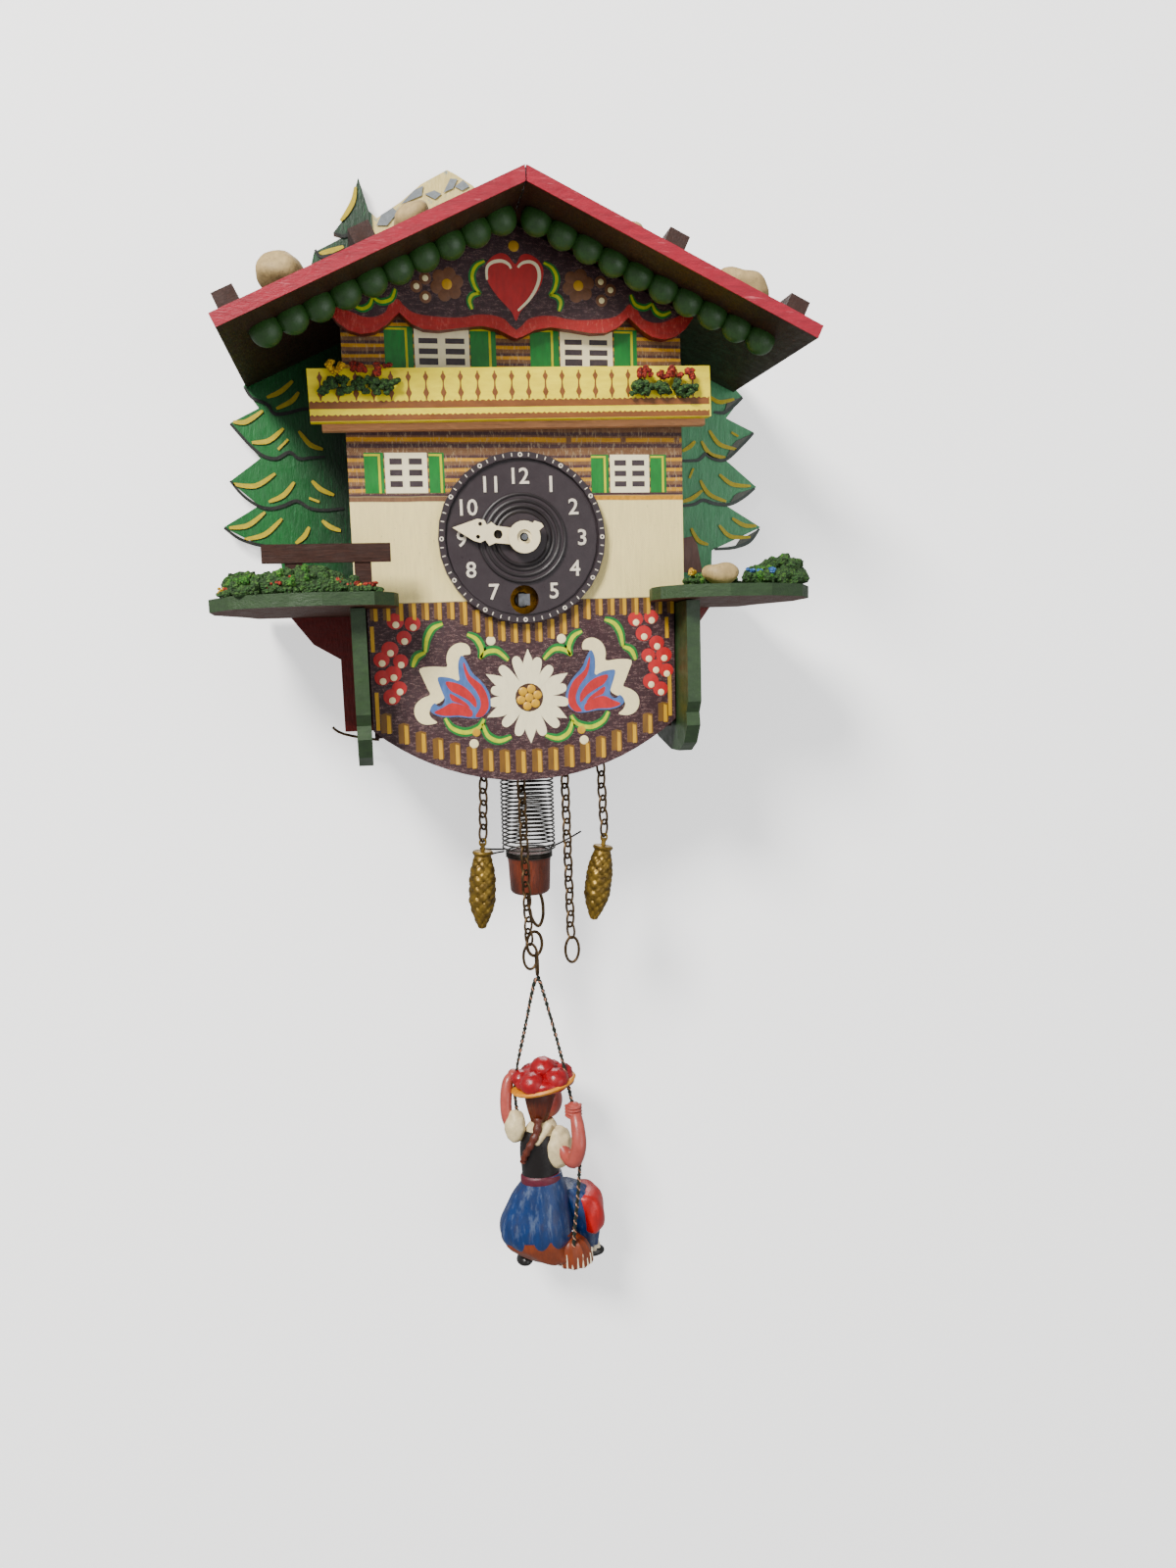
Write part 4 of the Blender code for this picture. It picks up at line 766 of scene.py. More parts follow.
Form().plate(TREE_TRUNK, y, 0.04).piece("tree_trunk", "case",
    painted("trunk_paint", "8a6a62", 0.2, (1, 1, 0.2)), False)
glow.piece("tree_glow_left", "case", painted("glow_yellow", "bfae2c", 0.2), False)
glow_right.piece("tree_glow_right", "case", painted("glow_pale", "cfbf4a", 0.2), False)
ink.piece("tree_ink_left", "case", painted("tree_ink", "10150d", 0.3), False)
ink_right.piece("tree_ink_right", "case", painted("tree_ink_grey", "4c5650", 0.2), False)
tips.piece("tree_tips", "case", painted("tip_grey", "6d7068", 0.2), False)
slate.piece("mountain_shade", "case", painted("slate_grey", "8a8f92", 0.2), False)

# Balcony slots between the balusters, and the brown bands below them
BALCONY_FRONT = -44.3
TILT = math.tan(math.radians(1.1))
SLOT_PITCH = 3.97
slots, bands = Form(), Form()
VASE = ((0.14, 0), (0.2, -0.5), (0.62, -1.2), (0.2, -2.1), (0.16, -3.0), (0.3, -3.9), (0.68, -4.8),
    (0.25, -5.6), (0.14, -6.3))
for i in range(23):
    x = -45.6 + i * SLOT_PITCH
    top = 37.9 + x * TILT
    outline = [(x + w, top + h, 0) for w, h in VASE] + [(x - w, top + h, 0) for w, h in VASE[::-1]]
    slots.plate([(p.x, p.y) for p in smooth_path(outline, 2, True)], BALCONY_FRONT, 0.05)
slots.piece("balcony_slots", "case", BALUSTER, False)
for low, high, ripple in ((-8.9, -7.3, 0.22), (-11.6, -10.3, 0.2)):
    lower, upper = [], []
    for i in range(181):
        x = -48.2 + i * 94.0 / 180
        base = 38.7 + x * TILT
        lower.append((x, base + low))
        upper.append((x, base + high + ripple * math.sin(x * math.tau / 1.3)))
    bands.plate(lower + upper[::-1], BALCONY_FRONT, 0.05)
bands.piece("balcony_bands", "case", BALUSTER, False)

# Lower panel: striped rims, scrolls, berries, tulips and an edelweiss
y = PANEL_FRONT
scrolls, yellow_dabs, berries, centres, cream_dots, leaf_lights = Form(), Form(), Form(), Form(), Form(), Form()
RIM_R = 58.7


def rim_z(x):
    """Height of the panel's rounded lower edge."""
    return -59.2 + RIM_R - math.sqrt(RIM_R * RIM_R - x * x)


tabs, tab_lights = Form(), Form()
for i in range(18):
    x = -34.6 + 4.07 * i
    low, high = rim_z(x) + 2.0, rim_z(x) + 7.6 - 0.03 * abs(x)
    tabs.plate([(x - 1.35, low), (x + 1.35, low), (x + 1.3, high), (x, high + 0.35), (x - 1.3, high)], y,
        0.05)
    tab_lights.plate([(x + 0.1, low - 0.2), (x + 1.05, low - 0.2), (x + 1.0, high - 0.5),
        (x + 0.15, high - 0.2)], y - 0.05, 0.04)
for i in range(25):
    x = -36.2 + 3.05 * i
    inside = abs(x) < 22
    top = -14.9
    low = -math.sqrt(25.6**2 - x * x) + 0.4 if abs(x) < 17 else -19.0
    if inside and low < top:
        top = max(top if abs(x) > 13.6 else -math.sqrt(20.6**2 - x * x), low + 2.5)
    tabs.plate([(x - 0.95, low + 0.2), (x + 0.95, low + 0.2), (x + 0.95, top), (x - 0.95, top)], y, 0.05)
    tab_lights.plate([(x - 0.1, low), (x + 0.75, low), (x + 0.75, top), (x - 0.1, top)], y - 0.05, 0.04)
for x, low, high in ((-36.9, -26.3, -20.2), (-36.6, -45.2, -36.0), (35.9, -25.0, -19.8),
    (36.4, -44.6, -33.5)):
    tab_lights.plate([(x - 0.45, low), (x + 0.45, low), (x + 0.45, high), (x - 0.45, high)], y, 0.05)
tabs.piece("rim_tabs", "case", TAB_BROWN, False)
tab_lights.piece("rim_tab_lights", "case", TAB_YELLOW, False)

BERRIES = (
    (-31.3, -19.6), (-27.2, -20.3), (-29.4, -23.6), (-32.9, -26.3), (-35.0, -28.7), (-30.5, -29.2), (-32.4,
        -32.2), (-35.0, -33.0),
    (-31.1, -35.7), (-33.0, -37.7), (27.9, -20.6), (31.9, -20.2), (29.9, -24.2), (33.2, -26.7), (31.0,
        -29.7), (35.0, -29.7),
    (32.8, -32.6), (35.6, -33.6), (31.5, -36.2), (34.0, -38.2),
)
for i, (bx, bz) in enumerate(BERRIES):
    berries.dot(bx, bz + 0.5, 2.05 - 0.12 * (i % 3), y, 0.1, 18, 0.95)
    centres.dot(bx + 0.1, bz - 0.35, 0.82, y - 0.08, 0.14, 12)
SCROLLS = (
    ((-27.7, -30.1), (-26.6, -27.7), (-24.5, -26.7)), ((-24.5, -26.7), (-23.9, -23.3), (-22.4, -20.9),
        (-20.0, -19.9)),
    ((-14.2, -22.6), (-12.0, -23.8), (-10.8, -26.3), (-11.2, -28.6)), ((-11.2, -28.4), (-9.6, -27.0),
        (-7.0, -26.9), (-4.4, -29.2)),
    ((-20.4, -42.8), (-18.9, -45.2), (-15.7, -46.5), (-12.3, -45.5), (-10.9, -43.4)), ((-11.3, -44.6),
        (-10.1, -47.6), (-7.4, -49.0), (-4.3, -48.1)),
)
for line in SCROLLS:
    for points in (line, mirrored(line)):
        scrolls.stroke(points, 2.3, y, 0.25, 0.06)
        leaf_lights.stroke([(px, pz - 0.1) for px, pz in points], 1.05, y - 0.06, 0.25, 0.05)


def outline_plate(form, points, y, thick, per=3):
    form.plate([(p.x, p.y) for p in smooth_path([(a, b, 0) for a, b in points], per, True)], y, thick)


LOBE = (
    (-13.6, -27.4), (-13.7, -25.9), (-14.7, -24.9), (-16.4, -24.7), (-18.2, -25.6), (-19.2, -27.1), (-19.5,
        -28.8), (-19.5, -30.4), (-22.5, -30.2),
    (-26.0, -30.6), (-25.4, -32.9), (-24.4, -35.4), (-23.8, -37.0), (-25.7, -37.8), (-27.4, -39.3), (-27.8,
        -41.5), (-26.8, -43.5), (-24.9, -44.3),
    (-22.4, -43.9), (-23.6, -42.8), (-24.2, -41.4), (-23.3, -39.8), (-20.8, -38.5), (-19.0, -35.3), (-16.2,
        -33.2), (-16.1, -29.4), (-15.4, -27.8), (-14.4, -27.6),
)
TULIP = (
    (-15.6, -27.8), (-14.5, -29.5), (-13.4, -31.9), (-11.5, -33.9), (-10.2, -35.6), (-9.3, -37.6), (-9.1,
        -40.1), (-9.9, -41.8), (-11.6, -43.0), (-13.8, -43.2),
    (-17.1, -42.7), (-19.9, -42.7), (-22.3, -42.2), (-23.9, -41.0), (-23.6, -39.8), (-22.7, -39.1), (-22.0,
        -39.9), (-20.9, -39.6), (-20.3, -38.5), (-20.7, -36.9),
    (-21.3, -35.2), (-21.8, -33.0), (-20.4, -32.8), (-18.4, -33.2), (-16.6, -33.9), (-16.7, -32.1), (-16.7,
        -29.9), (-16.3, -28.4),
)
FLAMES = (
    ((-15.3, -29.4), (-14.0, -32.6), (-11.3, -35.0), (-9.9, -37.8), (-9.7, -40.6), (-11.1, -42.7),
        (-13.0, -42.8), (-11.8, -40.8), (-11.6, -38.9), (-12.7, -36.3), (-14.5, -33.9), (-15.3, -31.3)),
    ((-23.0, -41.4), (-20.9, -40.3), (-18.6, -39.2), (-15.9, -39.9), (-13.8, -41.3), (-14.1, -42.8),
        (-17.1, -42.3), (-20.4, -42.3)),
    ((-19.9, -34.0), (-17.1, -34.5), (-14.7, -36.0), (-12.8, -38.5), (-12.8, -40.6), (-14.5, -38.8),
        (-16.9, -37.3), (-18.9, -36.1)),
    ((-19.0, -36.9), (-16.9, -38.1), (-15.1, -39.4), (-14.3, -40.7), (-16.5, -39.5), (-18.6, -38.6)),
)
lobes, tulips, flames = Form(), Form(), Form()
for flip in (lambda p: p, lambda p: [(-px + 0.6, pz + 0.3) for px, pz in p]):
    outline_plate(lobes, flip(LOBE), y, 0.05)
    outline_plate(tulips, flip(TULIP), y, 0.1)
    for flame in FLAMES:
        outline_plate(flames, flip(flame), y - 0.1, 0.05)
lobes.piece("panel_lobes", "case", CREAM_PAINT, False)
tulips.piece("tulips", "case", BLUE, False)
flames.piece("tulip_flames", "case", ROSE, False)
for dx, dz in ((-8.5, -24.4), (9.0, -24.4), (-13.6, -49.5), (14.0, -49.8)):
    cream_dots.dot(dx, dz, 1.15, y, 0.12, 14)
for dx, dz in ((-12.9, -46.7), (13.4, -47.2)):
    yellow_dabs.dot(dx, dz, 1.0, y - 0.1, 0.12, 14)
FLOWER = (0.5, -38.6)
PETAL_TIPS = (
    (0.5, -26.7, 0), (3.1, -28.8, 1), (6.3, -31.0, 1), (10.3, -32.9, 0), (9.9, -36.3, 1), (10.4, -40.2,
        1), (9.8, -44.1, 0), (7.6, -46.2, 1), (3.9, -48.2, 1),
    (0.6, -50.0, 0), (-2.7, -48.0, 1), (-6.2, -45.4, 1), (-10.1, -43.1, 0), (-9.5, -39.6, 1), (-8.9, -36.3,
        1), (-10.0, -32.5, 0), (-6.5, -30.7, 1), (-2.7, -28.4, 1),
)
petals = Form()
for i, (tx, tz, blunt) in enumerate(PETAL_TIPS):
    reach = Vector((tx - FLOWER[0], tz - FLOWER[1], 0))
    across = Vector((-reach.y, reach.x, 0)).normalized()
    widths = ((0.2, 0.5), (0.45, 1.0), (0.7, 1.25), (0.88, 1.15), (0.97, 0.75)) if blunt else ((0.2, 0.5),
        (0.45, 1.15), (0.65, 1.4), (0.82, 0.9), (0.93, 0.35))
    right = [reach * t + across * w for t, w in widths]
    left = [reach * t - across * w for t, w in widths]
    points = [(FLOWER[0] + p.x, FLOWER[1] + p.y) for p in right + [reach] + left[::-1]]
    outline_plate(petals, points, y, 0.06 + 0.025 * (i % 3))
petals.piece("edelweiss_petals", "case", WHITE, False)
hub = Form()
hub.dot(*FLOWER, 3.5, y - 0.1, 0.08, 20)
hub.piece("edelweiss_hub", "case", BROWN)
for i in range(7):
    a = math.tau * (i + 0.25) / 6
    r = 0 if i == 6 else 2.15
    yellow_dabs.dot(FLOWER[0] + r * math.cos(a), FLOWER[1] + r * math.sin(a), 1.08, y - 0.17, 0.3, 14)
berries.piece("berries", "case", ROSE)
centres.piece("berry_centres", "case", CREAM_PAINT)
cream_dots.piece("panel_dots", "case", CREAM_PAINT)

# Gable: heart, flowers, scrolls and dots
y = GABLE_FRONT
HEART = ((0.3, 62.2), (1.5, 64.1), (3.5, 64.5), (5.8, 63.1), (6.8, 60.9), (6.1, 57.8), (4.0, 54.8),
    (1.1, 51.7), (0.0, 49.6))
heart = Form()
outline_plate(heart, list(HEART) + [(-px, pz) for px, pz in HEART[-2:0:-1]], y, 0.1, 4)
heart.piece("gable_heart", "case", ROSE, False)
arcs = Form()
arcs.stroke([(-6.5, 58.6), (-6.4, 61.2), (-5.0, 62.5), (-2.8, 62.8), (-1.3, 62.1), (-0.8, 61.2)], 0.75,
    y - 0.1, 0.4, 0.05)
arcs.stroke([(0.8, 61.5), (1.9, 62.5), (3.8, 62.8), (5.3, 61.9), (5.8, 59.7), (5.0, 57.1), (3.2, 54.4),
    (0.5, 51.9)], 0.8, y - 0.1, 0.4, 0.05)
arcs.piece("heart_lines", "case", WHITE, False)
blooms, gable_rings, gable_dots = Form(), Form(), Form()
for fx, fz in ((-15.8, 57.4), (15.0, 57.8)):
    for i in range(6):
        a = math.tau * (i + 0.25) / 6
        blooms.dot(fx + 2.35 * math.cos(a), fz + 2.35 * math.sin(a), 1.55, y, 0.1, 14)
    blooms.dot(fx, fz, 2.4, y, 0.09, 14)
    yellow_dabs.dot(fx, fz, 1.2, y - 0.08, 0.14, 14)
yellow_dabs.dot(0, 66.2, 1.25, y, 0.14, 14)
for dx, dz in ((-22.8, 56.8), (-20.7, 58.6), (-20.8, 54.5), (20.4, 58.8), (22.7, 57.0), (20.5, 54.6)):
    gable_rings.dot(dx, dz, 1.4, y, 0.08, 14)
    gable_dots.dot(dx, dz, 0.7, y - 0.07, 0.12, 12)
for line in (
    ((-6.9, 62.7), (-8.9, 61.6), (-9.9, 59.4), (-9.3, 56.9), (-8.1, 55.4)), ((-8.1, 55.6), (-9.9, 55.2),
        (-10.7, 53.9), (-10.2, 52.0)),
    ((-37.4, 52.4), (-35.4, 51.6), (-33.6, 52.4), (-32.8, 54.2)), ((-32.8, 54.2), (-31.0, 53.2),
        (-28.6, 53.9), (-27.6, 56.1)),
):
    for points in (line, mirrored(line)):
        scrolls.stroke(points, 1.7, y, 0.3, 0.06)
        leaf_lights.stroke(points, 0.75, y - 0.06, 0.3, 0.05)
blooms.piece("gable_blooms", "case", BLOOM)
gable_rings.piece("gable_rings", "case", BLOOM)
gable_dots.piece("gable_dots", "case", CREAM_PAINT)
scrolls.piece("painted_scrolls", "case", LEAF, False)
leaf_lights.piece("scroll_lights", "case", LEAF_LIGHT, False)
yellow_dabs.piece("yellow_dabs", "case", TAB_YELLOW)

# ---------------------------------------------------------------- bead trims and pebbles

s = Shader("bead_glaze")
glaze = s.varied(rgb("3c5a34"), 1.4, (1, 1, 1), 0.2, 5.0)
BEAD = s.finish(glaze, 0.42, 0.1, s.noise(0.6), 0.05)
STRIP = painted("strip_paint", "33482a", 0.2)
for name, side in (("bead_trim_left", -1), ("bead_trim_right", 1)):
    trim = Form()
    lean = Matrix.Rotation(side * math.atan(ROOF_SLOPE), 3, "Y")
    for i in range(10):
        x = 4.0 + 5.8 * i
        under = ROOF_UNDER_APEX - ROOF_SLOPE * x
        trim.blob((side * x, -51.4, under - 1.5), (3.6, 2.8, 3.6), 22, 14, turn=lean)
    trim.piece(name + "_beads", "case", BEAD, replaces=(name,))
    back = Form()
    ends = ((0.9, -0.5), (57.6, -0.5), (57.6, -2.4), (1.7, -2.4))
    back.plate([(side * x, ROOF_UNDER_APEX - ROOF_SLOPE * x + lift) for x, lift in ends], -49.9, 0.3, 0.5)
    back.piece(name + "_strip", "case", STRIP, False)

s = Shader("pebble")
tone = s.varied(rgb("b3a07d"), 1.2, (1, 1, 0.4), 0.22, 5.0)
tone = s.mix(s.step(s.noise(0.7, (1, 1, 1), 4.0, 0.7, 8.0), 0.64, 0.04), tone, rgb("7d6c55"))
PEBBLE = s.finish(tone, 0.7, 0.1, s.noise(0.8, detail=5.0), 0.12)
for i, (x, y, rx, ry, rz) in enumerate(((-52.0, -54, 5.0, 5.6, 4.4), (-23.2, -50, 4.4, 6.0, 3.6),
    (26.0, -50, 2.8, 4.5, 3.0), (52.0, -54, 6.0, 4.6, 3.3))):
    name = f"roof_stone_{i + 1}"
    low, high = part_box(name)
    centre = [(a + b) / 2 / MM for a, b in zip(low, high)]
    turn = Matrix.Rotation(math.atan(ROOF_SLOPE) * (1 if x > 0 else -1), 3, "Y")
    Form().blob((centre[0], centre[1], high[2] / MM - rz), (rx, ry, rz), 26, 18, 0.22, 4.0, turn,
        i * 3.1).piece(name + "_pebble", "case", PEBBLE, replaces=(name,))
low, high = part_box("shelf_stone")
centre = [(a + b) / 2 / MM for a, b in zip(low, high)]
Form().blob(centre, (4.5, 3.8, 2.7), 26, 18, 0.2, 3.5, seed=9.0).piece("shelf_pebble", "case", PEBBLE,
    replaces=("shelf_stone",))

# ---------------------------------------------------------------- shelf plants and balcony flowers

FLOCK = {
    "moss": flock("moss_flock", ("3f5c38", "5c7a48", "283f24")),
    "pale": flock("pale_flock", ("4f8040", "74964f", "3c6032")),
    "red": flock("red_flock", ("9c3a30", "c05a4a", "6d2a24")),
    "yellow": flock("yellow_flock", ("e2b93a", "f0d670", "b98a24")),
    "blue": flock("blue_flock", ("4a78b4", "86a9d4", "2f5386")),
}


def shelf_top(y):
    return -12.5 - (y + 50) * math.tan(math.radians(2.4))


def crumbs(form, places, rng, spread, size, count):
    """Lumps of flock scattered round each place."""
    for x, y, z in places:
        for _ in range(count):
            at = (x + rng.uniform(-1, 1) * spread[0], y + rng.uniform(-1, 1) * spread[1],
                z + rng.uniform(-0.3, 1) * spread[2])
            r = size * rng.uniform(0.6, 1.15)
            form.blob(at, (r, r * 0.9, r * 0.85), 8, 6, 0.45, 0.9, seed=rng.uniform(0, 50))


rng = random.Random(11)
for side, lumps in (
    ("left", ((-66, -36, 5.5, 9, 4.6), (-58, -38, 6.5, 8, 4.4), (-49, -42, 7, 3.8, 4.6),
        (-50, -51.0, 12, 2.6, 4.4), (-62, -48, 7, 4, 3.4))),
    ("right", ((66, -38, 6.5, 9, 6.0), (58.5, -43, 5, 5, 3.4), (48, -38, 9, 6, 2.2))),
):
    bush, tops = Form(), Form()
    for x, y, rx, ry, rz in lumps:
        bush.blob((x, y, shelf_top(y) + 0.5 * rz), (rx * 0.9, ry * 0.9, rz * 0.75), 24, 16, 0.35, 2.4,
            seed=x)
        for _ in range(26):
            a, b = rng.uniform(0, math.tau), rng.uniform(0.1, 1.45)
            at = (x + rx * 0.85 * math.cos(a) * math.cos(b), y + ry * 0.85 * math.sin(a) * math.cos(b),
                shelf_top(y) + 0.5 * rz + rz * 0.7 * math.sin(b))
            target = tops if rng.random() < 0.45 else bush
            target.blob(at, (rng.uniform(0.7, 1.3),) * 3, 8, 6, 0.5, 0.9, seed=rng.uniform(0, 50))
    bush.piece(f"bush_{side}", "case", FLOCK["moss"], replaces=(f"shelf_plants_{side}",))
    tops.piece(f"bush_tops_{side}", "case", FLOCK["pale"])
reds, yellows, blues, greens = Form(), Form(), Form(), Form()
for i in range(39):
    x = -70 + i * 0.9 + rng.uniform(-0.5, 0.5)
    y = -44.5 - 7.4 * math.sin(math.pi * min(0.62, i / 32)) + rng.uniform(-0.5, 0.5)
    lift = 1.2 + 2.6 * math.exp(-(((x + 50) / 8) ** 2)) * (0.5 + 0.5 * rng.random())
    crumbs(reds if i % 7 else yellows, [(x, y, shelf_top(y) + lift)], rng, (0.8, 0.6, 0.9), 0.62, 4)
    crumbs(greens, [(x, y, shelf_top(y) + 0.6)], rng, (1.5, 1.2, 0.6), 0.8, 6)
for x, y in ((55.2, -46), (58.6, -45), (61.0, -46.5), (40.5, -46.0)):
    crumbs(blues if x > 45 else yellows, [(x, y, shelf_top(y) + 3.4)], rng, (0.8, 0.8, 0.7), 0.8, 5)
    crumbs(greens, [(x, y, shelf_top(y) + 1.3)], rng, (1.7, 1.5, 1.2), 0.9, 9)
for name, x0, x1 in (("left", -45.5, -28), ("right", 26, 43)):
    for i in range(7):
        x = x0 + 1.5 + (x1 - x0 - 3) * i / 6
        crumbs(greens, [(x, -45.7, 33.2)], rng, (1.4, 0.7, 2.2), 0.95, 8)
    for x, form in ((x0 + 3.5, yellows if name == "left" else reds), ((x0 + x1) / 2, reds),
        (x1 - 3.5, reds)):
        crumbs(form, [(x, -46.3, 37.0)], rng, (1.7, 0.6, 1.6), 0.95, 8)
greens.piece("flower_leaves", "case", FLOCK["moss"], replaces=("balcony_flowers_left",
    "balcony_flowers_right"))
reds.piece("red_flowers", "case", FLOCK["red"])
yellows.piece("yellow_flowers", "case", FLOCK["yellow"])
blues.piece("blue_flowers", "case", FLOCK["blue"])

# ---------------------------------------------------------------- dial

NUMERAL_R = 14.65
DIAL_ZONE = -39.4
IVORY = plastic("ivory_print", "e4ddd0", 0.4, 0.14)
grooves = Form()
for r, width in ((6.35, 0.5), (7.55, 0.45), (8.9, 0.5), (10.35, 0.4)):
    path = [(r * math.cos(math.tau * i / 72), -39.75, r * math.sin(math.tau * i / 72)) for i in range(72)]
    grooves.tube(path, width, 8, True)
grooves.piece("dial_rings", "case", plastic("ring_plastic", "2a2426", 0.48), slot="dial_brown")
numerals = Form()
for hour in range(1, 13):
    if hour == 6:
        continue
    curve = bpy.data.curves.new("numeral", "FONT")
    curve.body = str(hour)
    curve.size = 5.3
    curve.offset = 0.06
    curve.extrude = 0.11
    curve.align_x = "CENTER"
    curve.align_y = "CENTER"
    curve.resolution_u = 3
    holder = bpy.data.objects.new("numeral", curve)
    bpy.context.scene.collection.objects.link(holder)
    bpy.context.view_layer.update()
    mesh = bpy.data.meshes.new_from_object(holder.evaluated_get(bpy.context.evaluated_depsgraph_get()))
    xs = [v.co.x for v in mesh.vertices]
    ys = [v.co.y for v in mesh.vertices]
    a = math.radians(90 - 30 * hour)
    cx, cz = NUMERAL_R * math.cos(a), NUMERAL_R * math.sin(a)
    mx, my = (min(xs) + max(xs)) / 2, (min(ys) + max(ys)) / 2
    numerals.add([(cx + (v.co.x - mx), DIAL_ZONE - 0.1 - v.co.z,
        cz + (v.co.y - my)) for v in mesh.vertices], [list(f.vertices) for f in mesh.polygons])
    bpy.data.objects.remove(holder)
numerals.piece("dial_numerals", "case", IVORY, False, "cream_plastic")
ticks = Form()
for minute in range(60):
    a = math.tau * minute / 60
    c, sn = math.cos(a), math.sin(a)
    if minute % 5:
        w, r0, r1 = 0.11, 19.15, 19.95
        ticks.plate([(r0 * c - w * sn, r0 * sn + w * c), (r1 * c - w * sn, r1 * sn + w * c),
            (r1 * c + w * sn, r1 * sn - w * c), (r0 * c + w * sn, r0 * sn - w * c)], -40.2, 0.06)
    else:
        ticks.ring_plate((19.5 * c, 19.5 * sn), 0.28, 0.55, -40.2, 0.06, 12)
ticks.piece("dial_ticks", "case", IVORY, False, "cream_plastic")

# ---------------------------------------------------------------- chains and cones


def oval(centre, half_w, half_h, axis_turn, sides=20, tilt=0.0):
    """Closed oval path standing in a vertical plane turned about z."""
    c, s_ = math.cos(axis_turn), math.sin(axis_turn)
    out = []
    for i in range(sides):
        a = math.tau * i / sides
        u, h = half_w * math.cos(a), half_h * math.sin(a)
        out.append((centre[0] + u * c, centre[1] + u * s_, centre[2] + h + tilt * u))
    return out


LINK_PITCH = 3.1
LINK_HALF_W = 1.25
LINK_WIRE = 0.32


def chain(node, body, top, low, ring):
    """Twisted links from the staple at the top to the last link."""
    form = Form()
    length = (Vector(top) - Vector(low)).length
    count = max(2, round(length / LINK_PITCH))
    half_h = length / count / 2 + 0.62
    for i in range(count):
        at = Vector(top).lerp(Vector(low), (i + 0.5) / count)
        turn = math.radians(38 if i % 2 else -52)
        form.tube(oval(at, LINK_HALF_W, half_h, turn, 18, 0.18 if i % 2 else -0.18), LINK_WIRE, 7, True)
    if ring:
        form.tube(oval(ring, 1.9, 3.4, 0.2, 24), 0.38, 8, True)
    form.piece(node + "_links", body, BRONZE, slot="dark_bronze", replaces=(node,))


for node, body, top_x, low_x, low_z, ring in (
    ("cone_chain_left", "cone_left_body", -10.7, -11.8, -74.6, None),
    ("cone_chain_right", "cone_right_body", 19.0, 19.8, -75.2, None),
    ("loose_chain_left", "loose_left_body", -1.7, -0.9, -102.8, (-0.7, CHAIN_Y, -106.5)),
    ("loose_chain_right", "loose_right_body", 9.7, 10.2, -101.8, (10.4, CHAIN_Y, -105.5)),
):
    chain(node, body, (top_x, CHAIN_Y, -49.8), (low_x, CHAIN_Y, low_z), ring)

for side, top, low in (("left", (-11.9, -75.6), (-13.0, -98.2)), ("right", (19.7, -76.2), (16.3, -98.0))):
    top, low = Vector((top[0], CHAIN_Y, top[1])), Vector((low[0], CHAIN_Y, low[1]))
    length = (low - top).length
    profile = [(0, 0), (0.55, 0.05), (0.6, 1.8), (1.4, 1.95), (2.4, 2.1), (2.7, 2.5), (2.5, 2.95),
        (2.15, 3.3), (2.3, 4.0)]
    steps = 40
    body_profile = []
    for i in range(steps + 1):
        t = i / steps
        h = 4.2 + (length - 4.6) * t
        r = 2.35 + 1.1 * math.sin(math.pi * min(1.0,
            t * 1.15) ** 0.9) if t < 0.5 else 3.42 * math.cos((t - 0.45) / 0.55 * math.pi / 2 * 0.88) + 0.25
        body_profile.append((max(0.3, min(r, 3.4)), h))
    profile += body_profile + [(0, length)]
    profile = [(r, -h) for r, h in profile]

    def carved(a, h, r):
        if h > -4.1 or r < 0.5:
            return 0.0
        one = math.sin(3 * a + h * 1.15)
        two = math.sin(3 * a - h * 1.15)
        return -0.42 * (1 - abs(one)) ** 2 - 0.42 * (1 - abs(two)) ** 2 + 0.14

    lean = Matrix.Translation(top) @ Vector((0, 0, -1)).rotation_difference(low - top).to_matrix().to_4x4()
    form = Form().lathe(profile, 60, lean, carved)
    form.tube(oval(top + Vector((0, 0, 0.1)), 0.85, 0.95, 0.3, 16), 0.28, 7, True)
    form.piece(f"cone_{side}_cast", f"cone_{side}_body", GOLD, slot="antique_gold",
        replaces=(f"cone_{side}",))

# ---------------------------------------------------------------- coil spring, plug, hook and rings

BOB_X, BOB_Y = 1.6, -19.0
TURNS, PER = 33, 20
path = []
for i in range(TURNS * PER + 1):
    a = math.tau * i / PER
    path.append((BOB_X + 7.0 * math.cos(a), BOB_Y + 7.0 * math.sin(a),
        -44.2 - (80.2 - 44.2) * i / (TURNS * PER)))
coil = Form().tube(path, 0.24, 6).piece("coil_wire", None, DARK_STEEL, slot="steel",
    replaces=("coil_spring",))
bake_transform(coil)

ends = Form()
for points in (
    ((-5.2, -20, -80.0), (-8.6, -21, -79.6), (-11.8, -22, -79.0)), ((-5.0, -18, -81.0), (-8.0, -19, -81.2),
        (-10.6, -20, -82.0)),
    ((7.8, -18, -80.6), (11.6, -19, -78.8), (15.8, -20, -76.4)),
):
    ends.tube(smooth_path(points, 4), 0.27, 6)
wraps = [(math.tau * i / 24, -80.7 - 1.7 * i / 72) for i in range(73)]
ends.tube([(BOB_X + 6.1 * math.cos(a), BOB_Y + 6.1 * math.sin(a), h) for a, h in wraps], 0.25, 6)
ends.piece("spring_ends", "bob", DARK_STEEL)
PLUG = wood("plug_wood", "6e3a28", "z", rough=0.4, spread=0.3)
plug = [(0, -92.4), (4.4, -92.4), (4.9, -92.1), (5.3, -91.4), (5.5, -88.0), (5.65, -84.0), (5.9, -82.6),
    (5.95, -81.9), (5.7, -81.4), (5.2, -81.2), (0, -81.2)]
Form().lathe(plug, 48, Matrix.Translation((BOB_X, BOB_Y, 0)), lambda a, h,
    r: 0.03 * math.sin(7 * h)).piece("plug_turned", "bob", PLUG, slot="dark_wood", replaces=("spring_plug",))
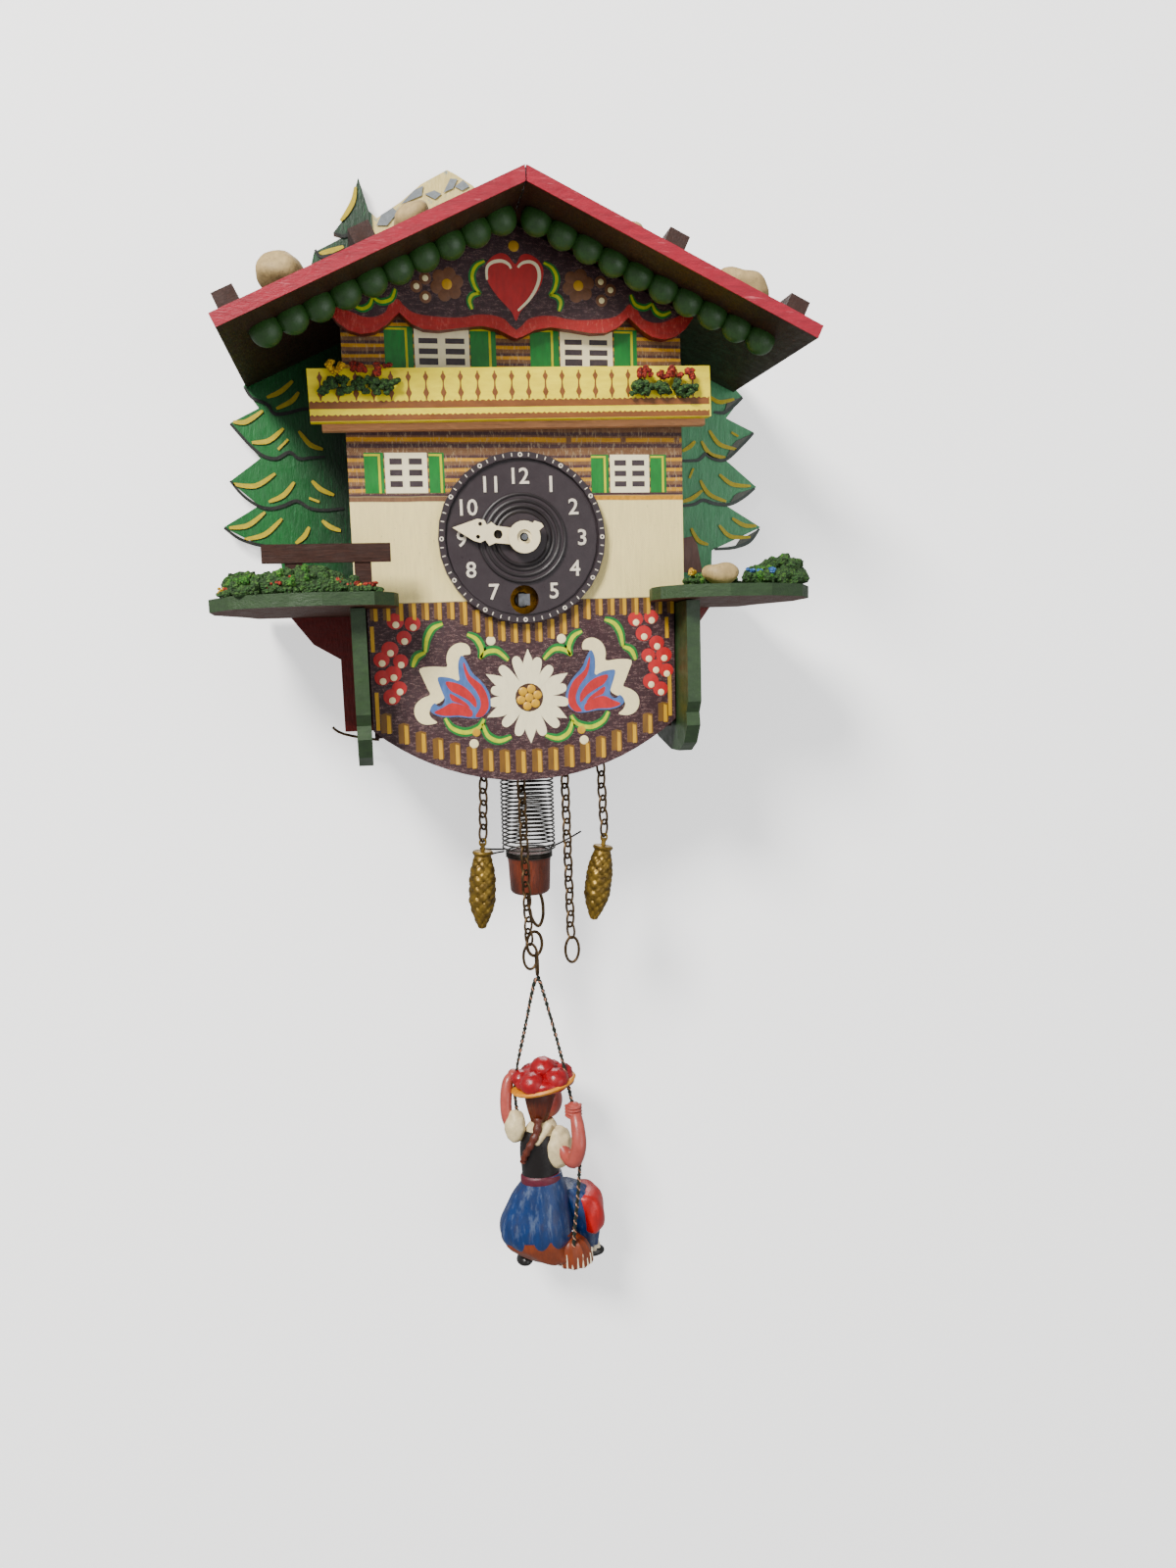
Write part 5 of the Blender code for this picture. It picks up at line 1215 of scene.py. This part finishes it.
hook = [(1.0, -19, -92.2), (1.0, -19, -96.4), (2.0, -19, -100.4), (3.6, -19, -102.0), (4.8, -19, -99.4),
    (4.8, -19, -95.4), (4.0, -19, -92.2)]
Form().tube(smooth_path(hook, 6), 0.45, 10).piece("hook_wire", "bob", BRONZE, slot="dark_bronze",
    replaces=("plug_hook",))
link = Form().tube(oval((2.2, -19, -106.9), 2.1, 3.4, 0.1, 28), 0.45, 9, True)
link.tube(oval((2.7, -19, -112.6), 1.5, 3.2, 1.57, 26), 0.42, 9, True)
link.piece("ring_links", "swing", BRONZE, slot="dark_bronze", replaces=("swing_link",))

# ---------------------------------------------------------------- rope

ROPE = ((-1.6, -12.4, -190), (-1.4, -12.2, -176), (-2.9, -12.8, -162), (-4.2, -15.4, -148),
    (-0.9, -18.0, -130), (1.6, -19, -118.6), (2.6, -19, -117.1), (3.6, -19, -118.6),
        (8.0, -19.6, -137), (10.4, -21.6, -150), (12.2, -24.2, -162), (11.6, -24.4, -174), (10.4, -23.8,
            -186), (9.9, -22.4, -194.4))
line = smooth_path(ROPE, 14)
STRANDS = {"dark": painted("strand_dark", "232a20", 0.2, rough=0.8),
    "pale": painted("strand_pale", "b78f7c", 0.2, rough=0.8)}


def strand(offset_turns, r, reach):
    out = []
    along = 0.0
    normal = Vector((0, 1, 0))
    for i, p in enumerate(line):
        ahead = (line[min(i + 1, len(line) - 1)] - line[max(i - 1, 0)]).normalized()
        if i:
            along += (p - line[i - 1]).length
        side = ahead.cross(normal).normalized()
        up = side.cross(ahead)
        a = math.tau * (along / 2.6 + offset_turns)
        out.append(p + (side * math.cos(a) + up * math.sin(a)) * reach)
    return Form().tube(out, r, 6)


rope = strand(0.0, 0.33, 0.3)
second = strand(0.5, 0.33, 0.3)
rope.add(second.verts, second.faces)
rope_piece = rope.piece("rope_twist", "swing", STRANDS["dark"], slot="cord", replaces=("swing_rope",))
strand(0.25, 0.2, 0.42).piece("rope_fleck", "swing", STRANDS["pale"], slot="cord")

# ---------------------------------------------------------------- girl

CLOTH = {
    "skin": plastic("doll_skin", "a65c55", 0.34, 0.18), "hair": wood("doll_hair", "5a2a1a", "z",
        rough=0.45),
    "hat": painted("hat_paint", "cf9417", 0.25), "pompom": painted("pompom_paint", "8f1527", 0.3,
        rough=0.3),
    "vest": painted("vest_paint", "17100f", 0.3, rough=0.35), "blouse": painted("blouse_paint", "dccfae",
        0.22),
    "sash": painted("sash_paint", "5c1f30", 0.3), "skirt": skirt_paint(), "apron": painted("apron_paint",
        "b01f26", 0.25, (1, 1, 0.3), rough=0.35),
    "petticoat": painted("petticoat_paint", "7a4027", 0.28, (1, 1, 0.4)), "shoe": painted("shoe_paint",
        "1c1a19", 0.3, rough=0.3),
    "sock": painted("sock_paint", "e6dcc6", 0.12),
}


def dressed(name, form, cloth, **more):
    return form.piece(f"girl_{name}", "swing", CLOTH[cloth], **more)


def pleats(a, h):
    drop = max(0.0, min(1.0, (-176 - h) / 14))
    return (0.16 * math.sin(11 * a + 0.6) + 0.24 * math.sin(4 * a + h * 0.2)) * drop


SKIRT_ROWS = (
    # centre x, centre y, height, radius x, radius y
    (2.4, -18.0, -173.4, 5.4, 4.0), (2.3, -18.0, -175.4, 5.9, 4.4), (1.6, -17.6, -179.0, 7.7, 5.8), (0.9,
        -17.2, -183.0, 8.9, 7.0),
    (0.3, -17.0, -187.0, 10.2, 8.0), (0.2, -17.0, -190.4, 10.4, 8.2), (0.6, -17.0, -192.6, 10.0, 8.0), (1.0,
        -17.0, -193.9, 9.2, 7.4),
)
dressed("skirt", Form().loft(SKIRT_ROWS, 64, pleats), "skirt", slot="figure_paint",
    replaces=("swing_girl",))
HEM_ROWS = (
    (0.5, -17.0, -191.2, 10.1, 8.0), (0.6, -17.0, -193.6, 9.8, 7.8), (2.4, -17.0, -196.2, 8.4, 7.0), (4.6,
        -17.2, -198.2, 7.2, 6.2), (6.0, -17.4, -199.4, 5.6, 5.2),
)
dressed("hem", Form().loft(HEM_ROWS, 48, lambda a, h: 0.25 * math.sin(9 * a)), "petticoat")
LAP_ROWS = (
    (8.6, -13.8, -179.8, 3.4, 4.2), (10.8, -12.8, -182.4, 5.4, 6.2), (12.7, -12.0, -185.8, 6.3, 7.2), (13.9,
        -11.6, -189.0, 5.9, 7.0),
    (14.9, -11.2, -193.4, 4.8, 6.0), (15.9, -11.0, -197.6, 3.2, 4.4), (16.1, -11.0, -200.2, 2.6, 3.4),
)
dressed("lap", Form().loft(LAP_ROWS, 48, lambda a, h: 0.3 * math.sin(7 * a + h * 0.1)), "skirt")
APRON_ROWS = (
    (13.8, -12.8, -182.0, 2.8, 4.8), (15.2, -12.6, -183.2, 4.0, 6.6), (16.1, -12.4, -187.0, 4.4,
        7.6), (16.5, -12.2, -191.0, 4.2, 7.3),
    (16.6, -12.2, -193.4, 3.4, 6.4), (16.6, -12.2, -194.4, 2.2, 4.6),
)
dressed("apron", Form().loft(APRON_ROWS, 44, lambda a, h: 0.22 * math.sin(6 * a + 0.4 * h)), "apron")
SEAT_ROWS = (
    (9.6, -19.0, -192.8, 1.8, 2.0), (10.0, -19.0, -194.4, 3.6, 4.0), (10.4, -18.8, -197.6, 4.9, 4.9), (10.6,
        -18.6, -200.2, 5.3, 5.0), (10.6, -18.6, -201.0, 4.9, 4.7),
)
dressed("underskirt", Form().loft(SEAT_ROWS, 40, lambda a, h: 0.28 * math.sin(10 * a)), "petticoat",
    replaces=("swing_seat",))
trim = Form()
for i in range(9):
    a = math.radians(205 + 17 * i)
    foot = (10.6 + 5.25 * math.cos(a), -18.6 + 5.0 * math.sin(a))
    trim.tube([(foot[0], foot[1], -200.6), (foot[0] - 0.1, foot[1] + 0.02, -198.4 + 0.9 * (i % 3))],
        [0.32, 0.12], 7)
dressed("underskirt_trim", trim, "sock")
BODICE_ROWS = (
    (1.9, -18.0, -174.4, 5.2, 3.9), (1.8, -18.0, -171.0, 5.3, 3.9), (1.6, -18.0, -167.4, 5.4, 3.9), (1.7,
        -18.0, -163.4, 5.2, 3.7), (2.0, -17.8, -160.4, 4.4, 3.2),
)
dressed("vest", Form().loft(BODICE_ROWS, 40), "vest")
SASH_ROWS = ((2.1, -18.0, -175.8, 5.8, 4.3), (2.1, -18.0, -175.2, 5.95, 4.45),
    (2.0, -18.0, -173.9, 5.8, 4.35), (2.0, -18.0, -173.3, 5.3, 4.0))
dressed("sash", Form().loft(SASH_ROWS, 40), "sash")
collar = Form().loft(((2.3, -17.8, -161.6, 4.7, 3.4), (2.6, -17.8, -159.6, 4.3, 3.2),
    (3.0, -17.6, -158.0, 3.0, 2.6)), 32)
collar.tube(smooth_path([(4.4, -20.4, -158.2), (2.7, -21.2, -160.6), (0.2, -21.6, -163.4)], 5),
    [1.2] * 5 + [1.0] * 5 + [0.5], 10)
collar.blob((-4.7, -17.6, -159.2), (3.0, 3.0, 4.6), 26, 18, 0.14, 1.8).blob((7.0, -19.4, -165.8),
    (4.1, 3.6, 6.0), 30, 20, 0.14, 2.2)
dressed("blouse", collar, "blouse")


def swelling(path, r, more):
    """Radii along a limb that is thickest half-way."""
    return [r + more * math.sin(math.pi * i / (len(path) - 1)) for i in range(len(path))]


arms = Form()
left_arm = smooth_path([(-5.8, -17.2, -160.0), (-6.9, -16.6, -156.6), (-6.9, -15.8, -151.4),
    (-6.0, -14.6, -147.2), (-4.6, -13.8, -145.9)], 6)
arms.tube(left_arm, swelling(left_arm, 1.3, 0.35), 14)
right_arm = smooth_path([(7.4, -20.8, -164.6), (8.8, -23.4, -167.0), (10.2, -26.2, -167.0),
    (11.4, -27.4, -162.4), (11.5, -25.8, -157.6), (11.3, -24.0, -155.0)], 6)
arms.tube(right_arm, swelling(right_arm, 1.6, 0.5), 14)
arms.blob((-4.4, -13.6, -145.8), (1.6, 1.9, 1.7), 18, 12)
arms.blob((11.0, -22.4, -153.8), (2.3, 2.3, 2.1), 20, 14, 0.1, 1.5)
for i in range(4):
    level = -152.6 - 0.9 * i
    arms.tube(smooth_path([(8.9, -22.4, level), (9.9, -24.4, level - 0.1), (12.0, -24.3, level - 0.1),
        (13.0, -22.6, level)], 3), 0.46, 8)
dressed("arms", arms, "skin")
dressed("head", Form().blob((4.9, -15.8, -153.0), (4.1, 4.2, 5.2), 32,
    22).tube([(3.6, -17.0, -156.5), (3.2, -17.6, -160.5)], 1.6, 14), "skin")
hair = Form().loft(((1.9, -17.6, -158.9, 2.0, 1.9), (2.0, -17.7, -157.0, 2.6, 2.5),
    (2.4, -17.4, -154.6, 3.6, 3.4), (2.6, -17.2, -151.6, 4.3, 4.2), (2.8, -17.0, -148.6, 4.3,
    4.2)), 40, lambda a, h: 0.12 * math.sin(24 * a))
braid = smooth_path([(1.4, -20.2, -156.6), (0.6, -21.6, -160.0), (-1.4, -22.2, -163.4),
    (-3.0, -21.6, -166.6), (-3.4, -21.0, -168.4)], 6)
hair.tube(braid, [1.25 - 0.02 * i + 0.16 * math.sin(i * 1.7) for i in range(len(braid))], 12)
dressed("hair", hair, "hair")
tilt = Matrix.Translation((3.6, -17.2, -147.6)) @ Matrix.Rotation(math.radians(-11), 4,
    "Y") @ Matrix.Rotation(math.radians(-6), 4, "X")
BRIM = [(0, -0.9), (6.6, -0.85), (8.8, -0.7), (9.3, -0.1), (9.0, 0.5), (7.6, 0.7), (0, 0.8)]
dressed("hat", Form().lathe(BRIM, 64, tilt, lambda a, h, r: 0.12 * math.sin(32 * a) if r > 7 else 0.0),
    "hat")
pom = Form().blob((3.6, -17.4, -146.2), (8.5, 8.4, 3.4), 36, 18, 0.1, 3.0)
for cx, cy, cz, r in (
    (3.4, -18.4, -142.9, 3.7), (0.0, -22.0, -145.6, 3.7), (6.4, -22.0, -145.0, 3.6), (-2.8, -17.0, -145.6,
        2.6), (9.2, -17.6, -144.6, 2.6),
    (0.6, -13.6, -145.6, 2.9), (6.6, -13.6, -145.2, 2.9),
):
    pom.blob((cx, cy, cz), (r, r, r * 0.9), 24, 16, 0.08, 1.0, seed=cx)
dressed("pompoms", pom, "pompom")
socks = Form().loft(((16.6, -11.0, -198.6, 1.9, 1.9), (16.9, -11.0, -200.4, 2.3, 2.3),
    (17.1, -11.0, -202.0, 2.6, 2.3)), 24, lambda a, h: 0.2 * math.sin(8 * a))
socks.tube([(-2.4, -15.6, -196.5), (-2.8, -15.6, -199.0)], 1.3, 12)
dressed("socks", socks, "sock")
shoes = Form().loft(((16.8, -11.2, -203.6, 3.7, 2.2), (16.8, -11.2, -203.0, 4.0, 2.4),
    (16.9, -11.2, -202.2, 3.6, 2.2), (17.0, -11.2, -201.5, 2.4, 1.9)), 28)
shoes.loft(((-3.2, -15.4, -201.0, 2.1, 2.9), (-3.2, -15.4, -200.4, 2.4, 3.2),
    (-3.1, -15.4, -199.2, 2.0, 2.8), (-2.9, -15.2, -198.3, 1.4, 1.8)), 28)
dressed("shoes", shoes, "shoe")

# ---------------------------------------------------------------- studio

wall = bpy.data.materials.new("studio_wall")
wall.use_nodes = True
nodes, links = wall.node_tree.nodes, wall.node_tree.links
bsdf = nodes["Principled BSDF"]
bsdf.inputs["Base Color"].default_value = (0.95, 0.95, 0.95, 1)
bsdf.inputs["Roughness"].default_value = 0.9
bsdf.inputs["Emission Color"].default_value = (1, 1, 1, 1)
bsdf.inputs["Emission Strength"].default_value = 0.9
# The backdrop can be seen only from the clock's side, so it doesn't hide the clock from behind.
one_sided = nodes.new("ShaderNodeMixShader")
clear = nodes.new("ShaderNodeBsdfTransparent")
facing = nodes.new("ShaderNodeNewGeometry")
links.new(facing.outputs["Backfacing"], one_sided.inputs[0])
links.new(bsdf.outputs[0], one_sided.inputs[1])
links.new(clear.outputs[0], one_sided.inputs[2])
links.new(one_sided.outputs[0], nodes["Material Output"].inputs["Surface"])
for name, corners in (
    ("studio_backdrop", [(-900, 1.0, -420), (900, 1.0, -420), (900, 1.0, 700), (-900, 1.0, 700)]),
    ("studio_floor", [(-900, -900, -420), (900, -900, -420), (900, 900, -420), (-900, 900, -420)]),
):
    mesh = bpy.data.meshes.new(name)
    mesh.from_pydata([Vector(c) * MM for c in corners], [], [[0, 1, 2, 3]])
    mesh.materials.append(wall)
    made = bpy.data.objects.new(name, mesh)
    bpy.context.scene.collection.objects.link(made)
    made.visible_shadow = made.visible_diffuse = made.visible_glossy = False


def light(name, at, aim, size, power, colour=(1, 1, 1)):
    lamp = bpy.data.lights.new(name, "AREA")
    lamp.shape = "DISK"
    lamp.size = size
    lamp.energy = power
    lamp.color = colour
    holder = bpy.data.objects.new(name, lamp)
    holder.location = at
    holder.rotation_euler = (Vector(aim) - Vector(at)).to_track_quat("-Z", "Y").to_euler()
    bpy.context.scene.collection.objects.link(holder)


light("key", (-0.6, -0.8, 0.75), (0, 0, -0.02), 0.35, 30, (1.0, 0.97, 0.93))
light("fill", (0.7, -1.0, -0.1), (0, 0, -0.05), 0.9, 4, (0.96, 0.98, 1.0))
light("rim", (0.2, 0.8, 0.6), (0, 0, 0), 0.6, 6)
world = bpy.data.worlds.new("studio")
world.use_nodes = True
world.node_tree.nodes["Background"].inputs["Color"].default_value = (1, 1, 1, 1)
world.node_tree.nodes["Background"].inputs["Strength"].default_value = 0.5
bpy.context.scene.world = world

look = Matrix.Rotation(-0.1836, 3, "Z") @ Matrix.Rotation(-0.1422, 3, "X") @ Matrix.Rotation(0.0273, 3, "Y")
camera = bpy.data.cameras.new("photo_camera")
camera.lens = 26.42
camera.sensor_width = 36
camera.clip_start = 0.01
eye = bpy.data.objects.new("photo_camera", camera)
columns = Matrix((look.col[0], look.col[2], -look.col[1])).transposed()
eye.matrix_world = Matrix.Translation(Vector((-37.83, -320.96, -19.83)) * MM) @ columns.to_4x4()
bpy.context.scene.collection.objects.link(eye)
bpy.context.scene.camera = eye
